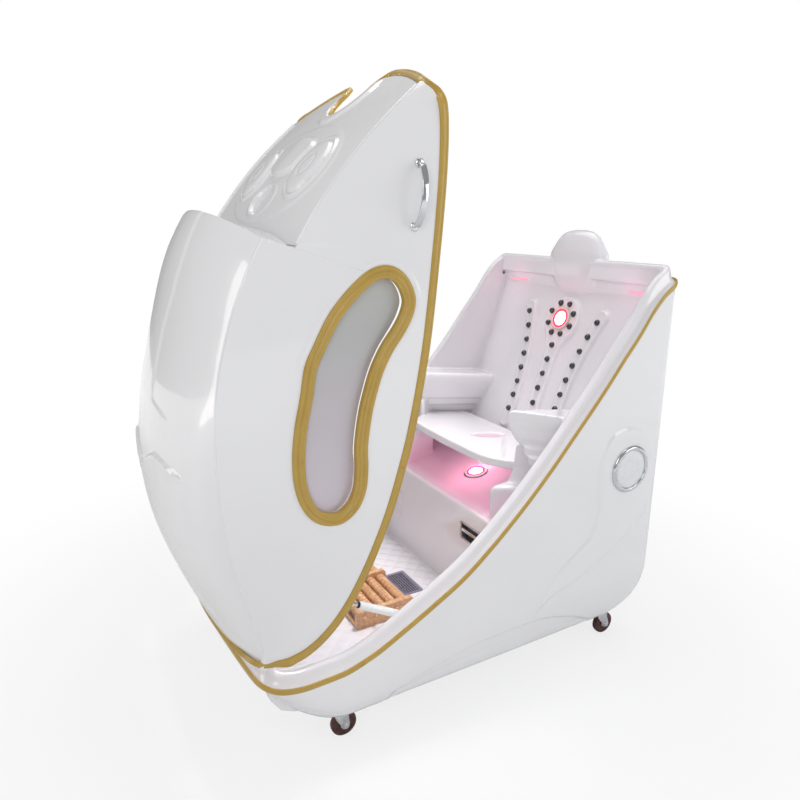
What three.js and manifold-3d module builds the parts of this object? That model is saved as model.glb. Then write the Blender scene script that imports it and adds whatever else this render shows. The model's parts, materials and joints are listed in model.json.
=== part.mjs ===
// Sit-in spa capsule: a moulded tub with a reclined massage back and a hinged
// clamshell lid, on four swivel castors. Millimetres, +Z up. The foot end is
// towards -X and the head end towards +X, Y = 0 is the plane of symmetry, and
// Z = 0 is the floor. The lid is drawn standing open.
import * as THREE from 'three';
import { mergeVertices, mergeGeometries } from 'three/addons/utils/BufferGeometryUtils.js';
import Module from 'manifold-3d';

const wasm = await Module();
wasm.setup();

// ---------------------------------------------------------------- dimensions
const X_ORIGIN = -749.1;         // puts the overall box's middle at X = 0
const HALF_WIDTH = 425;         // half of the 850 mm wide tub
const TUB_REAR = 1500;          // rear plane of the tub, in tub coordinates
const SKIN = 8;                 // moulded shell thickness
const GAP = 0.4;                // assembly gap between neighbouring pieces
const LID_PIVOT = [165, 350];   // X, Z of the lid hinge axis
const LID_CHORD_DEG = 70.7;     // slope of the lid's rim chord when open
const LID_CHORD_ORIGIN = [160, 330];
const TRIM_W = 22;              // width of the ochre edge trim on the lid
const WHEEL_R = 37.5;
const CASTOR_X = [403, 1381];
const CASTOR_Y = 346;
const CASTOR_TRAIL = [14, 22];       // swivel axis ahead of the wheel's axle: front, rear
const BACK_FOOT = [1387.4, 900];     // a point on the reclined back plane (X, Z)
const BACK_RECLINE = 19.86 * Math.PI / 180;
const SEAT_PANEL_X = 920;
const FLOOR_Z = 175;            // footwell floor
const STONE_R = 10;
const STRUT_BASE = [620, 314], STRUT_TOP = [333, 471], STRUT_Y = 368;   // gas strut pivots, X Z, and its Y

// Height of the trim line along the tub flank: [X, Z]
const TRIM_LINE = [[135, 283], [170, 280], [215, 272], [280, 266], [364, 268], [451, 290], [543, 332],
  [637, 380], [735, 435], [827, 505], [922, 589], [1018, 684], [1114, 790], [1213, 902], [1281, 986],
  [1342, 1059], [1391, 1126], [1432, 1168], [1477, 1196], [1500, 1206]];
// Height of the liner's rolled rim above the trim line: [X, height]
const RIM_RISE = [[135, 34], [250, 32], [400, 32], [600, 36], [900, 42], [1200, 50], [1400, 58], [1460, 52], [1500, 44]];
// Plan of the tub at the trim line, from the foot's middle to the flank: [X, Y]
const PLAN = [[135, 0], [137, 90], [144, 180], [152, 270], [160, 340], [168, 375], [182, 400], [205, 416], [240, 424], [290, 425]];
// Outer shell by height: [Z, foot end shift, half width, rear end]
const SHELL_LEVELS = [[96, 205, 374, 1335], [106, 185, 391, 1366], [128, 150, 402, 1418], [165, 100, 411, 1468], [215, 48, 419, 1494], [262, 10, 424, 1500], [300, 0, 425, 1500], [1240, 0, 425, 1500]];
const FLOOR_UNDER = 110;        // underside of the shell's floor; the skirt hangs lower

// Lid, in its own frame: p along the rim chord from the foot, q away from the tub
const LID_CENTRE = [[-22, 39], [10, 68], [55, 108], [110, 154], [164, 196], [207, 227], [274, 267], [348, 299], [444, 324], [521, 335], [627, 345], [719, 352], [797, 356], [861, 358], [912, 356], [966, 349], [1020, 338]];
// How the dome's cross-section rounds over, by p: it goes from squarish at the foot to an ellipse
const CROWN_A = [[-22, 2.6], [300, 2.4], [650, 1.95], [1020, 1.85]], CROWN_B = [[-22, 0.75], [300, 0.8], [650, 1.0], [1020, 0.95]];
const RIDGE_P = 1020;           // the dome's head end on the centre line
const LID_CREASE = [[6, -5], [40, -2], [73, 10], [120, 38], [179, 79], [291, 145], [397, 194], [523, 240], [633, 268], [710, 278], [806, 282], [900, 276], [985, 263]];
const LID_CREASE_Y = [[6, 398], [40, 392], [73, 386], [179, 374], [397, 370], [985, 371]];
const LID_RIM = [[6, -5], [18, -38], [30, -60], [60, -102], [104, -139], [150, -164], [213, -186], [322, -207], [400, -215], [475, -218], [638, -212], [740, -200], [860, -181], [1065, -135], [1238, -91], [1330, -62], [1377, -43], [1405, -26], [1425, -4]];
const LID_RIM_Y = [[6, 399], [18, 413], [30, 420], [60, 424], [104, 425], [1377, 425], [1405, 421], [1425, 408]];
const SIDE_CREASE = [[985, 263], [1050, 244], [1150, 200], [1250, 146], [1350, 84], [1425, 22]];
const SHOULDER = [[940, 207], [980, 196], [1050, 180], [1129, 156], [1200, 130], [1261, 104], [1340, 64], [1415, 22], [1460, -4], [1510, -34]];
const STEP_P = 985;             // where the dome ends and the head panel begins
const WINDOW = [[0.662, 0.793], [0.713, 0.840], [0.759, 0.865], [0.822, 0.894], [0.874, 0.908], [0.929, 0.915],
  [0.972, 0.912], [1.005, 0.894], [1.023, 0.862], [1.024, 0.824], [1.010, 0.787], [0.980, 0.762], [0.942, 0.745],
  [0.894, 0.730], [0.848, 0.708], [0.807, 0.680], [0.761, 0.643], [0.710, 0.592], [0.678, 0.549], [0.640, 0.508],
  [0.597, 0.484], [0.551, 0.482], [0.517, 0.504], [0.498, 0.542], [0.501, 0.591], [0.524, 0.645], [0.564, 0.700], [0.612, 0.750]]
  .map(([x, z]) => { const c = Math.cos(34.5 * Math.PI / 180), s = Math.sin(34.5 * Math.PI / 180), X = x * 1000 - 160, Z = z * 1000 - 330; return [X * c + Z * s, -X * s + Z * c]; });
const WINDOW_BORDER = 30;

// ------------------------------------------------------------------- helpers
function curve(table) {        // monotone cubic through the table's points
  const n = table.length, x = table.map(t => t[0]), y = table.map(t => t[1]);
  const h = [], d = [], m = new Array(n).fill(0);
  for (let i = 0; i < n - 1; i++) { h.push(x[i + 1] - x[i]); d.push((y[i + 1] - y[i]) / h[i]); }
  m[0] = d[0]; m[n - 1] = d[n - 2];
  for (let i = 1; i < n - 1; i++) {
    if (d[i - 1] * d[i] <= 0) m[i] = 0;
    else { const w1 = 2 * h[i] + h[i - 1], w2 = h[i] + 2 * h[i - 1]; m[i] = (w1 + w2) / (w1 / d[i - 1] + w2 / d[i]); }
  }
  return v => {
    if (v <= x[0]) return y[0] + (v - x[0]) * m[0] * 0;
    if (v >= x[n - 1]) return y[n - 1];
    let i = 0; while (v > x[i + 1]) i++;
    const t = (v - x[i]) / h[i], t2 = t * t, t3 = t2 * t;
    return (2 * t3 - 3 * t2 + 1) * y[i] + (t3 - 2 * t2 + t) * h[i] * m[i] + (-2 * t3 + 3 * t2) * y[i + 1] + (t3 - t2) * h[i] * m[i + 1];
  };
}
const toLid = (x, z) => { const a = LID_CHORD_DEG * Math.PI / 180, X = x - LID_CHORD_ORIGIN[0], Z = z - LID_CHORD_ORIGIN[1]; return [X * Math.cos(a) + Z * Math.sin(a), -X * Math.sin(a) + Z * Math.cos(a)]; };
const trimZ = curve(TRIM_LINE), rimRise = curve(RIM_RISE);
const lidCentre = curve(LID_CENTRE), lidCrease = curve(LID_CREASE), lidCreaseY = curve(LID_CREASE_Y);
const lidRim = curve(LID_RIM), lidRimY = curve(LID_RIM_Y), sideCrease = curve(SIDE_CREASE), shoulder = curve(SHOULDER);

function geometryOf(points, faces) {
  const g = new THREE.BufferGeometry();
  g.setAttribute('position', new THREE.Float32BufferAttribute(points.flat(), 3));
  g.setIndex(faces.flat());
  let v = 0;
  for (const [a, b, c] of faces) {
    const A = points[a], B = points[b], C = points[c];
    v += A[0] * (B[1] * C[2] - B[2] * C[1]) - A[1] * (B[0] * C[2] - B[2] * C[0]) + A[2] * (B[0] * C[1] - B[1] * C[0]);
  }
  if (v < 0) g.setIndex(faces.map(([a, b, c]) => [a, c, b]).flat());
  return g;
}
// A closed body between two grids of points: an outer skin and an inner skin
function skinBody(outer, inner) {
  const m = outer.length, n = outer[0].length, pts = [...outer.flat(), ...inner.flat()], f = [];
  const o = (i, j) => i * n + j, k = (i, j) => m * n + i * n + j;
  const quad = (a, b, c, d) => f.push([a, b, c], [a, c, d]);
  for (let i = 0; i < m - 1; i++) for (let j = 0; j < n - 1; j++) {
    quad(o(i, j), o(i + 1, j), o(i + 1, j + 1), o(i, j + 1));
    quad(k(i, j), k(i, j + 1), k(i + 1, j + 1), k(i + 1, j));
  }
  for (let i = 0; i < m - 1; i++) { quad(o(i, 0), k(i, 0), k(i + 1, 0), o(i + 1, 0)); quad(o(i, n - 1), o(i + 1, n - 1), k(i + 1, n - 1), k(i, n - 1)); }
  for (let j = 0; j < n - 1; j++) { quad(o(0, j), o(0, j + 1), k(0, j + 1), k(0, j)); quad(o(m - 1, j), k(m - 1, j), k(m - 1, j + 1), o(m - 1, j + 1)); }
  return geometryOf(pts, f);
}
// A closed body through rings of points; a loop of rings closes on itself
function ringBody(rings, loop = false) {
  const n = rings[0].length, m = rings.length, pts = rings.flat(), f = [];
  const id = (i, j) => (i % m) * n + (j % n);
  for (let i = 0; i < (loop ? m : m - 1); i++) for (let j = 0; j < n; j++) {
    f.push([id(i, j), id(i + 1, j), id(i + 1, j + 1)], [id(i, j), id(i + 1, j + 1), id(i, j + 1)]);
  }
  if (!loop) for (const [ring, flip] of [[0, false], [m - 1, true]]) {
    const P = rings[ring], c = [0, 1, 2].map(a => P.reduce((s, q) => s + q[a], 0) / n), ci = pts.length;
    pts.push(c);
    for (let j = 0; j < n; j++) { const a = ring * n + j, b = ring * n + (j + 1) % n; f.push(flip ? [ci, b, a] : [ci, a, b]); }
  }
  return geometryOf(pts, f);
}
function bare(g) {
  g = g.clone(); for (const name of Object.keys(g.attributes)) if (name !== 'position') g.deleteAttribute(name);
  return mergeVertices(g, 1e-4);
}
function solid(g) {
  g = bare(g);
  const m = new wasm.Manifold(new wasm.Mesh({ numProp: 3, vertProperties: new Float32Array(g.attributes.position.array), triVerts: new Uint32Array(g.index.array) }));
  return m;
}
function geometryFrom(m) {
  const r = m.getMesh(), g = new THREE.BufferGeometry(), n = r.vertProperties.length / r.numProp, p = new Float32Array(n * 3);
  for (let i = 0; i < n; i++) for (let a = 0; a < 3; a++) p[3 * i + a] = r.vertProperties[i * r.numProp + a];
  g.setAttribute('position', new THREE.BufferAttribute(p, 3)); g.setIndex(Array.from(r.triVerts));
  return g;
}
const largest = m => m.decompose().sort((a, b) => b.volume() - a.volume())[0];
function boxAt(x0, x1, y0, y1, z0, z1) { const g = new THREE.BoxGeometry(x1 - x0, y1 - y0, z1 - z0); g.translate((x0 + x1) / 2, (y0 + y1) / 2, (z0 + z1) / 2); return g; }
function rodAlong(axis, r, a, b, seg = 20) { // cylinder between coordinates a and b of one axis
  const g = new THREE.CylinderGeometry(r, r, Math.abs(b - a), seg);
  if (axis === 'x') g.rotateZ(-Math.PI / 2); if (axis === 'z') g.rotateX(Math.PI / 2);
  g.translate(axis === 'x' ? (a + b) / 2 : 0, axis === 'y' ? (a + b) / 2 : 0, axis === 'z' ? (a + b) / 2 : 0);
  return g;
}
// An outline in the X-Z plane, extruded along Y from y0 to y1
function slabXZ(outline, y0, y1, holes = []) {
  const s = new THREE.Shape(outline.map(([x, z]) => new THREE.Vector2(x, z)));
  for (const h of holes) s.holes.push(new THREE.Path(h.map(([x, z]) => new THREE.Vector2(x, z))));
  const g = new THREE.ExtrudeGeometry(s, { depth: y1 - y0, bevelEnabled: false, steps: 1 });
  g.rotateX(Math.PI / 2); g.translate(0, y1, 0);
  return g;
}
// An outline in the X-Y plane, extruded along Z from z0 to z1
function slabXY(outline, z0, z1, holes = []) {
  const s = new THREE.Shape(outline.map(([x, y]) => new THREE.Vector2(x, y)));
  for (const h of holes) s.holes.push(new THREE.Path(h.map(([x, y]) => new THREE.Vector2(x, y))));
  const g = new THREE.ExtrudeGeometry(s, { depth: z1 - z0, bevelEnabled: false, steps: 1 });
  g.translate(0, 0, z0);
  return g;
}
const mirrorY = g => { const h = bare(g); h.scale(1, -1, 1); const a = Array.from(h.index.array); for (let i = 0; i < a.length; i += 3) [a[i + 1], a[i + 2]] = [a[i + 2], a[i + 1]]; h.setIndex(a); return h; };
const circle = (cx, cy, r, n = 24, a0 = 0) => Array.from({ length: n }, (_, i) => [cx + r * Math.cos(a0 + 2 * Math.PI * i / n), cy + r * Math.sin(a0 + 2 * Math.PI * i / n)]);
function offsetLoop(loop, d) { // moves a closed outline along its inward normal by d
  const n = loop.length, area = loop.reduce((s, [x, y], i) => { const [u, v] = loop[(i + 1) % n]; return s + x * v - u * y; }, 0), sg = area > 0 ? 1 : -1;
  return loop.map((p, i) => {
    const a = loop[(i + n - 1) % n], b = loop[(i + 1) % n]; let tx = b[0] - a[0], ty = b[1] - a[1]; const l = Math.hypot(tx, ty); tx /= l; ty /= l;
    return [p[0] - sg * ty * d, p[1] + sg * tx * d];
  });
}

const root = new THREE.Group();
root.position.x = X_ORIGIN;
const lidGroup = new THREE.Group();
lidGroup.position.set(LID_CHORD_ORIGIN[0], 0, LID_CHORD_ORIGIN[1]);
lidGroup.rotation.y = -LID_CHORD_DEG * Math.PI / 180;
root.add(lidGroup);

const M = (color, roughness, metalness = 0, opacity = 1) => new THREE.MeshStandardMaterial({ color, roughness, metalness, opacity, transparent: opacity < 1 });
function add(group, name, g, material) {
  const mesh = new THREE.Mesh(g, material); mesh.name = name; group.add(mesh); return mesh;
}
const white = () => M(0xf2f2f4, 0.12), liner = () => M(0xf4f2f6, 0.1), ochre = () => M(0xb08d35, 0.35), chrome = () => M(0xd8dade, 0.08, 1), steel = () => M(0x9a9da2, 0.4, 0.9);

// ----------------------------------------------------------------- tub shell
// Half outline of the tub in plan, then mirrored; closed, counter-clockwise
function tubOutline(shift, half, rear, inset = 0) {
  const k = half / HALF_WIDTH, pts = [];
  const rr = 46;
  for (const [x, y] of PLAN) pts.push([x + shift * (1 - 0.15 * (y / HALF_WIDTH)), y * k]);
  pts.push([500 + 0.3 * shift, half]); pts.push([1000, half]);
  for (let a = 90; a >= 0; a -= 30) { const r = a * Math.PI / 180; pts.push([rear - rr + rr * Math.cos(r), half - rr + rr * Math.sin(r)]); }
  const full = [...pts.slice(1).reverse().map(([x, y]) => [x, y]), pts[0], ...pts.slice(1).map(([x, y]) => [x, -y])];
  const out = inset ? offsetLoop(full, inset) : full;
  return out;
}
function tubSolid(inset, low) {   // the tub's outer form, moved in by inset, from the height low up
  const level = z => { const L = SHELL_LEVELS; let i = 0; while (i < L.length - 2 && z > L[i + 1][0]) i++; const t = (z - L[i][0]) / (L[i + 1][0] - L[i][0]); return L[i].map((v, k) => v + (L[i + 1][k] - v) * t); };
  const zs = [low, ...SHELL_LEVELS.map(l => l[0]).filter(z => z > low + 3)];
  return ringBody(zs.map(z => { const [, s, h, r] = level(z); return tubOutline(s, h, r, inset).map(([x, y]) => [x, y, z]); }));
}
const tubOuter = solid(tubSolid(0, 96)), tubInner = solid(tubSolid(SKIN, FLOOR_UNDER + SKIN));
// everything above the trim line, as a slab across the tub
function cutLine(dz) {
  const xs = [...new Set(rimStations().filter(s => s.y >= -0.01).map(s => Math.round(s.x * 100) / 100))].sort((a, b) => a - b), keep = [];
  for (const x of xs) if (!keep.length || x - keep[keep.length - 1] > 4) keep.push(x);
  return [[-50, trimZ(135) + dz], ...keep.map(x => [x, trimZ(x) + dz]), [1600, trimZ(1500) + dz]];
}
const aboveTrim = solid(slabXZ([[-50, 1400], ...cutLine(0), [1600, 1400]], -500, 500));
{
  let shell = tubOuter.subtract(tubInner).subtract(aboveTrim);
  // the floor is recessed inside the skirt, and the skirt arches between the castors
  const under = tubOutline(205, 374, 1335, 12);
  shell = shell.subtract(solid(slabXY(under, 60, FLOOR_UNDER)));
  shell = shell.subtract(solid(slabXZ([[470, 60], [470, 90], [520, FLOOR_UNDER - 0.5], [1220, FLOOR_UNDER - 0.5], [1280, 90], [1280, 60]], -500, 500)));
  // round wells that the castors' swivel heads turn in
  CASTOR_X.forEach((cx, i) => [-1, 1].forEach(sg => {
    const g = rodAlong('z', 40, 60, FLOOR_UNDER, 24); g.translate(cx - CASTOR_TRAIL[i], sg * CASTOR_Y * (i ? 1 : 0.97), 0); shell = shell.subtract(solid(g));
  }));
  add(root, 'tub_outer_shell', geometryFrom(largest(shell)), white());
}
// Stations round the rim: position in plan, outward normal
function rimStations() {
  const o = tubOutline(0, HALF_WIDTH, TUB_REAR), n = o.length, out = [];
  const dense = [];
  for (let i = 0; i < n; i++) {
    const a = o[i], b = o[(i + 1) % n], l = Math.hypot(b[0] - a[0], b[1] - a[1]), back = b[0] < a[0], ts = [];
    const at = t => { const u = back ? 1 - t : t; return [a[0] + (b[0] - a[0]) * u, a[1] + (b[1] - a[1]) * u]; };
    // finer where the trim line dips under the lid; the same stations on both flanks
    for (let d = 0, last = 0; d < l - 30; d += 5) { const [x, y] = at(d / l); if (d - last >= (Math.abs(y) > 400 && x < 620 ? 62 : 165)) { ts.push(d / l); last = d; } }
    dense.push([a[0], a[1]], ...(back ? ts.reverse() : ts).map(at));
  }
  const m = dense.length;
  for (let i = 0; i < m; i++) {
    const a = dense[(i + m - 1) % m], b = dense[(i + 1) % m]; let tx = b[0] - a[0], ty = b[1] - a[1]; const l = Math.hypot(tx, ty); tx /= l; ty /= l;
    let nx = ty, ny = -tx; if (nx * (dense[i][0] - 800) + ny * dense[i][1] < 0 && Math.abs(dense[i][1]) > 300) { nx = -nx; ny = -ny; }
    const c = dense[i][0] - 800; if (Math.abs(dense[i][1]) <= 300 && nx * c < 0) { nx = -nx; ny = -ny; }
    out.push({ x: dense[i][0], y: dense[i][1], nx, ny });
  }
  return out;
}
function sweepRim(profileOf) { return ringBody(rimStations().map(s => profileOf(s).map(([n, z]) => [s.x + s.nx * n, s.y + s.ny * n, z])), true); }
add(root, 'tub_trim_band', sweepRim(s => { const z = trimZ(s.x); return [[0.6, z - 9], [4.6, z - 8], [5.4, z - 1], [4.6, z + 6], [0.6, z + 7]]; }), ochre());
add(root, 'tub_rim', sweepRim(s => {
  const z = trimZ(s.x), h = rimRise(s.x);
  return [[-0.6, z + 1.6], [-13.5, z + 13], [-20, z + h - 7], [-27, z + h], [-38, z + h], [-43, z + h - 7], [-43, z - 14], [-37, z - 14], [-34, z + h - 14], [-22, z + h - 16], [-16, z + 1.6]];
}), liner());

// ------------------------------------------------------------ inside the tub
const backPoint = (s, n = 0) => [BACK_FOOT[0] + s * Math.sin(BACK_RECLINE) - n * Math.cos(BACK_RECLINE), BACK_FOOT[1] + s * Math.cos(BACK_RECLINE) + n * Math.sin(BACK_RECLINE)];
// clear of the rim's inner skirt and of the back
const WALL_Y = 381, WALL_T = 6;
const underTrim = solid(slabXZ([[-50, 40], [-50, 267], ...TRIM_LINE.map(([x, z]) => [x, z - 16]), [1600, 1190], [1600, 40]], -500, 500));
{ // footwell pan: floor, foot wall
  const outline = [[186, 262], [196, 262], [205, 240], [232, 205], [262, 188], [300, FLOOR_Z + 6], [SEAT_PANEL_X - GAP, FLOOR_Z + 6], [SEAT_PANEL_X - GAP, FLOOR_Z - 2], [296, FLOOR_Z - 2], [256, 180], [224, 198], [196, 234]];
  let pan = solid(slabXZ(outline, -(WALL_Y - 0.4), WALL_Y - 0.4)).intersect(solid(tubSolid(34, 130)));
  pan = pan.subtract(solid(boxAt(748, 822, -70, 70, 160, 200)));
  add(root, 'footwell_pan', geometryFrom(pan), liner());
}
for (const [side, sg] of [['right', -1], ['left', 1]]) { // inner side walls
  const top = cutLine(-16).filter(([x]) => x >= 240 && x < 1420);
  const wall = [[238, 222], ...top, [backPoint(250)[0] - 16, 1135], [backPoint(-300)[0] - 16, 618], [backPoint(-300)[0] - 16, FLOOR_Z + 7], [330, FLOOR_Z + 7], [270, 196]];
  const g = geometryFrom(solid(slabXZ(wall, WALL_Y, WALL_Y + WALL_T)));
  add(root, `side_liner_${side}`, sg > 0 ? g : mirrorY(g), liner());
}
// seat front panel with a recess for the pull, and the lit basin behind it
{
  let p = solid(boxAt(SEAT_PANEL_X, SEAT_PANEL_X + 8, -(WALL_Y - GAP), WALL_Y - GAP, FLOOR_Z - 2, 489));
  p = p.subtract(solid(boxAt(SEAT_PANEL_X - 5, SEAT_PANEL_X + 20, -262, -142, 388, 440)));
  add(root, 'seat_front_panel', geometryFrom(p), liner());
  add(root, 'panel_pull', (() => {
    let c = solid(boxAt(SEAT_PANEL_X - 4, SEAT_PANEL_X + 26, -261.5, -142.5, 388.5, 439.5)).subtract(solid(boxAt(SEAT_PANEL_X - 10, SEAT_PANEL_X + 22, -256, -148, 394, 434)));
    c = c.add(solid(boxAt(SEAT_PANEL_X - 1, SEAT_PANEL_X + 7, -257, -147, 412, 422)));
    return geometryFrom(c);
  })(), chrome());
  const zs = x => 489.6 + (x - SEAT_PANEL_X) * 0.255;
  const xe = 1262;
  let b = solid(slabXZ([[SEAT_PANEL_X, zs(SEAT_PANEL_X)], [SEAT_PANEL_X, zs(SEAT_PANEL_X) + 7], [945, zs(945) + 4], [1000, zs(1000) + 2], [xe, zs(xe) + 2], [xe, zs(xe) - 6], [940, zs(940) - 6], [938, zs(930)]], -(WALL_Y - GAP), WALL_Y - GAP));
  b = b.subtract(solid((() => { const g = rodAlong('z', 42.5, 400, 700, 28); g.translate(1077, 0, 0); return g; })()));
  add(root, 'seat_basin', geometryFrom(b), M(0xf6c9dc, 0.15));
  const lamp = new THREE.LatheGeometry([[0, -14], [41, -14], [41, 2], [46, 2], [46, 5], [34, 7], [31, 4], [0, 4]].map(([r, z]) => new THREE.Vector2(r, z)), 28);
  lamp.rotateX(Math.PI / 2); lamp.rotateY(-Math.atan(0.255)); lamp.translate(1077, 0, zs(1077) + 3.4);
  const lampMesh = solid(lamp);
  add(root, 'seat_lamp', geometryFrom(lampMesh), M(0xffffff, 0.2));
}
// seat board: straight front edge with large rounded corners, oval opening on the centre line, sloping down towards the back
const BOARD_EDGE = [[345, 1120], [335, 1088], [318, 1062], [300, 1042], [280, 1020], [262, 997], [245, 978], [225, 960], [200, 948], [150, 941.5], [80, 938.5], [0, 937]];
const SEAT_TILT = 0.133;
{
  const out = [...BOARD_EDGE.map(([y, x]) => [x, y]), ...BOARD_EDGE.slice(0, -1).reverse().map(([y, x]) => [x, -y])];
  out.push([1262, -345], [1262, 345]);
  const hole = Array.from({ length: 20 }, (_, i) => [1125 + 66 * Math.cos(2 * Math.PI * i / 20), 28 * Math.sin(2 * Math.PI * i / 20)]);
  const g = slabXY(out, -30, 0, [hole]);
  const shear = new THREE.Matrix4().set(1, 0, 0, 0, 0, 1, 0, 0, -SEAT_TILT, 0, 1, 0, 0, 0, 0, 1);
  g.translate(-940, 0, 0); g.applyMatrix4(shear); g.translate(940, 0, 685);
  add(root, 'seat_board', bare(g), liner());
}
// armrests with an oblique front face and stepped undersides, parallel to the seat, on a post that steps forward to a plinth on the basin
for (const [side, sg] of [['right', -1], ['left', 1]]) {
  const ring = (z, inner, front) => { const xb = backPoint((z - 900) / Math.cos(BACK_RECLINE))[0] - 36; return [[front, inner + 12, z], [front + 12, inner, z], [xb, inner, z], [xb, WALL_Y - GAP, z], [front + (WALL_Y - inner) * 1.28, WALL_Y - GAP, z]]; };
  const g = ringBody([ring(560, 352, 1075), ring(640, 352, 1050), ring(712, 340, 1020), ring(714, 316, 1003), ring(740, 298, 1000), ring(762, 286, 984), ring(786, 276, 974), ring(806, 270, 972), ring(832, 270, 972), ring(843, 280, 984)]);
  // the block stays clear of the seat board and of the basin
  let a = solid(g).subtract(solid(boxAt(900, 1400, -351, 351, 500, 683)));
  const slope = new THREE.Matrix4().set(1, 0, 0, 0, 0, 1, 0, 0, -SEAT_TILT, 0, 1, SEAT_TILT * 972, 0, 0, 0, 1);
  const sloped = geometryFrom(a); sloped.applyMatrix4(slope); a = solid(sloped).subtract(solid(boxAt(900, 1400, 0, 500, 400, 590)));
  const foot = (z, inner, front) => [[front, inner + 12, z], [front + 12, inner, z], [1076, inner, z], [1136, 346, z], [1136, WALL_Y - GAP, z], [Math.min(front + (WALL_Y - inner) * 1.28, 1134), WALL_Y - GAP, z]];
  let post = solid(ringBody([foot(482, 258, 925), foot(592, 258, 925), foot(601, 262, 934), foot(611, 268, 981), foot(656, 270, 1001), foot(720, 272, 1004)]));
  post = post.subtract(solid(slabXZ([[900, 400], [900, 497.4], [921, 497.4], [945, 500.8], [1000, 512.8], [1300, 589.2], [1300, 400]], -500, 500)));
  // the board's rounded corner passes behind the post
  post = post.subtract(solid(slabXY([[1119, 351], ...BOARD_EDGE.slice(0, 8).map(([y, x]) => [x - 1.5, y + (y > 330 ? 6 : 1)]), [958, 200], [1300, 200], [1300, 351]], 615, 697)));
  a = a.add(post).intersect(solid(boxAt(900, 1400, 0, WALL_Y - GAP, 400, 900)));
  const whole = geometryFrom(largest(a));
  add(root, `armrest_${side}`, sg > 0 ? whole : mirrorY(whole), liner());
}
// reclined back with three raised ribs that fan out upwards
const ribPath = { side: [[-270, 122], [-213, 113], [-160, 112], [-107, 114], [-54, 118], [-1, 126], [52, 137], [103, 151], [154, 170]], centre: [[-270, 0], [-166, 0], [-110, 0], [-56, 0], [0, 0]] };
function ribOutline(path, half, head, headR) {
  const L = [], R = [], c = curve(path.map(([s, y]) => [s, y]));
  const s0 = path[0][0], s1 = path[path.length - 1][0];
  for (let i = 0; i <= 6; i++) { const s = s0 + (s1 - s0) * i / 6, w = half + (headR - half) * Math.max(0, (i / 6 - 0.55) / 0.45) ** 2 * (headR > half + 8 ? 0.35 : 1); L.push([s, c(s) + w]); R.push([s, c(s) - w]); }
  const cap = [];
  for (let a = 75; a >= -75; a -= 30) { const t = a * Math.PI / 180; cap.push([head[0] + headR * Math.cos(t), head[1] + headR * Math.sin(t)]); }
  return [...L, ...cap, ...R.reverse()];
}
function onBack(outline, n0, n1, holes = []) { // an outline in (s, y) on the back plane, raised from n0 to n1
  const s = new THREE.Shape(outline.map(([a, b]) => new THREE.Vector2(a, b)));
  for (const h of holes) s.holes.push(new THREE.Path(h.map(([a, b]) => new THREE.Vector2(a, b))));
  const g = new THREE.ExtrudeGeometry(s, { depth: n1 - n0, bevelEnabled: false, steps: 1 });
  const sx = Math.sin(BACK_RECLINE), cz = Math.cos(BACK_RECLINE);
  const m = new THREE.Matrix4().makeBasis(new THREE.Vector3(sx, 0, cz), new THREE.Vector3(0, 1, 0), new THREE.Vector3(-cz, 0, sx));
  g.translate(0, 0, n0); g.applyMatrix4(m); g.translate(BACK_FOOT[0], 0, BACK_FOOT[1]);
  return g;
}
{
  let panel = solid(onBack([[-306, 372], [244, 372], [262, 354], [262, -354], [244, -372], [-306, -372]].map(([s, y]) => [s, y]), -9, 0));
  panel = panel.add(solid(onBack(ribOutline(ribPath.centre, 30, [147, 0], 82), -4, 14)));
  const sideRib = ribOutline(ribPath.side, 26, [172, 176], 28);
  panel = panel.add(solid(onBack(sideRib, -4, 14))).add(solid(onBack(sideRib.map(([s, y]) => [s, -y]), -4, 14)));
  add(root, 'back_panel', geometryFrom(panel), liner());
}
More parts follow.
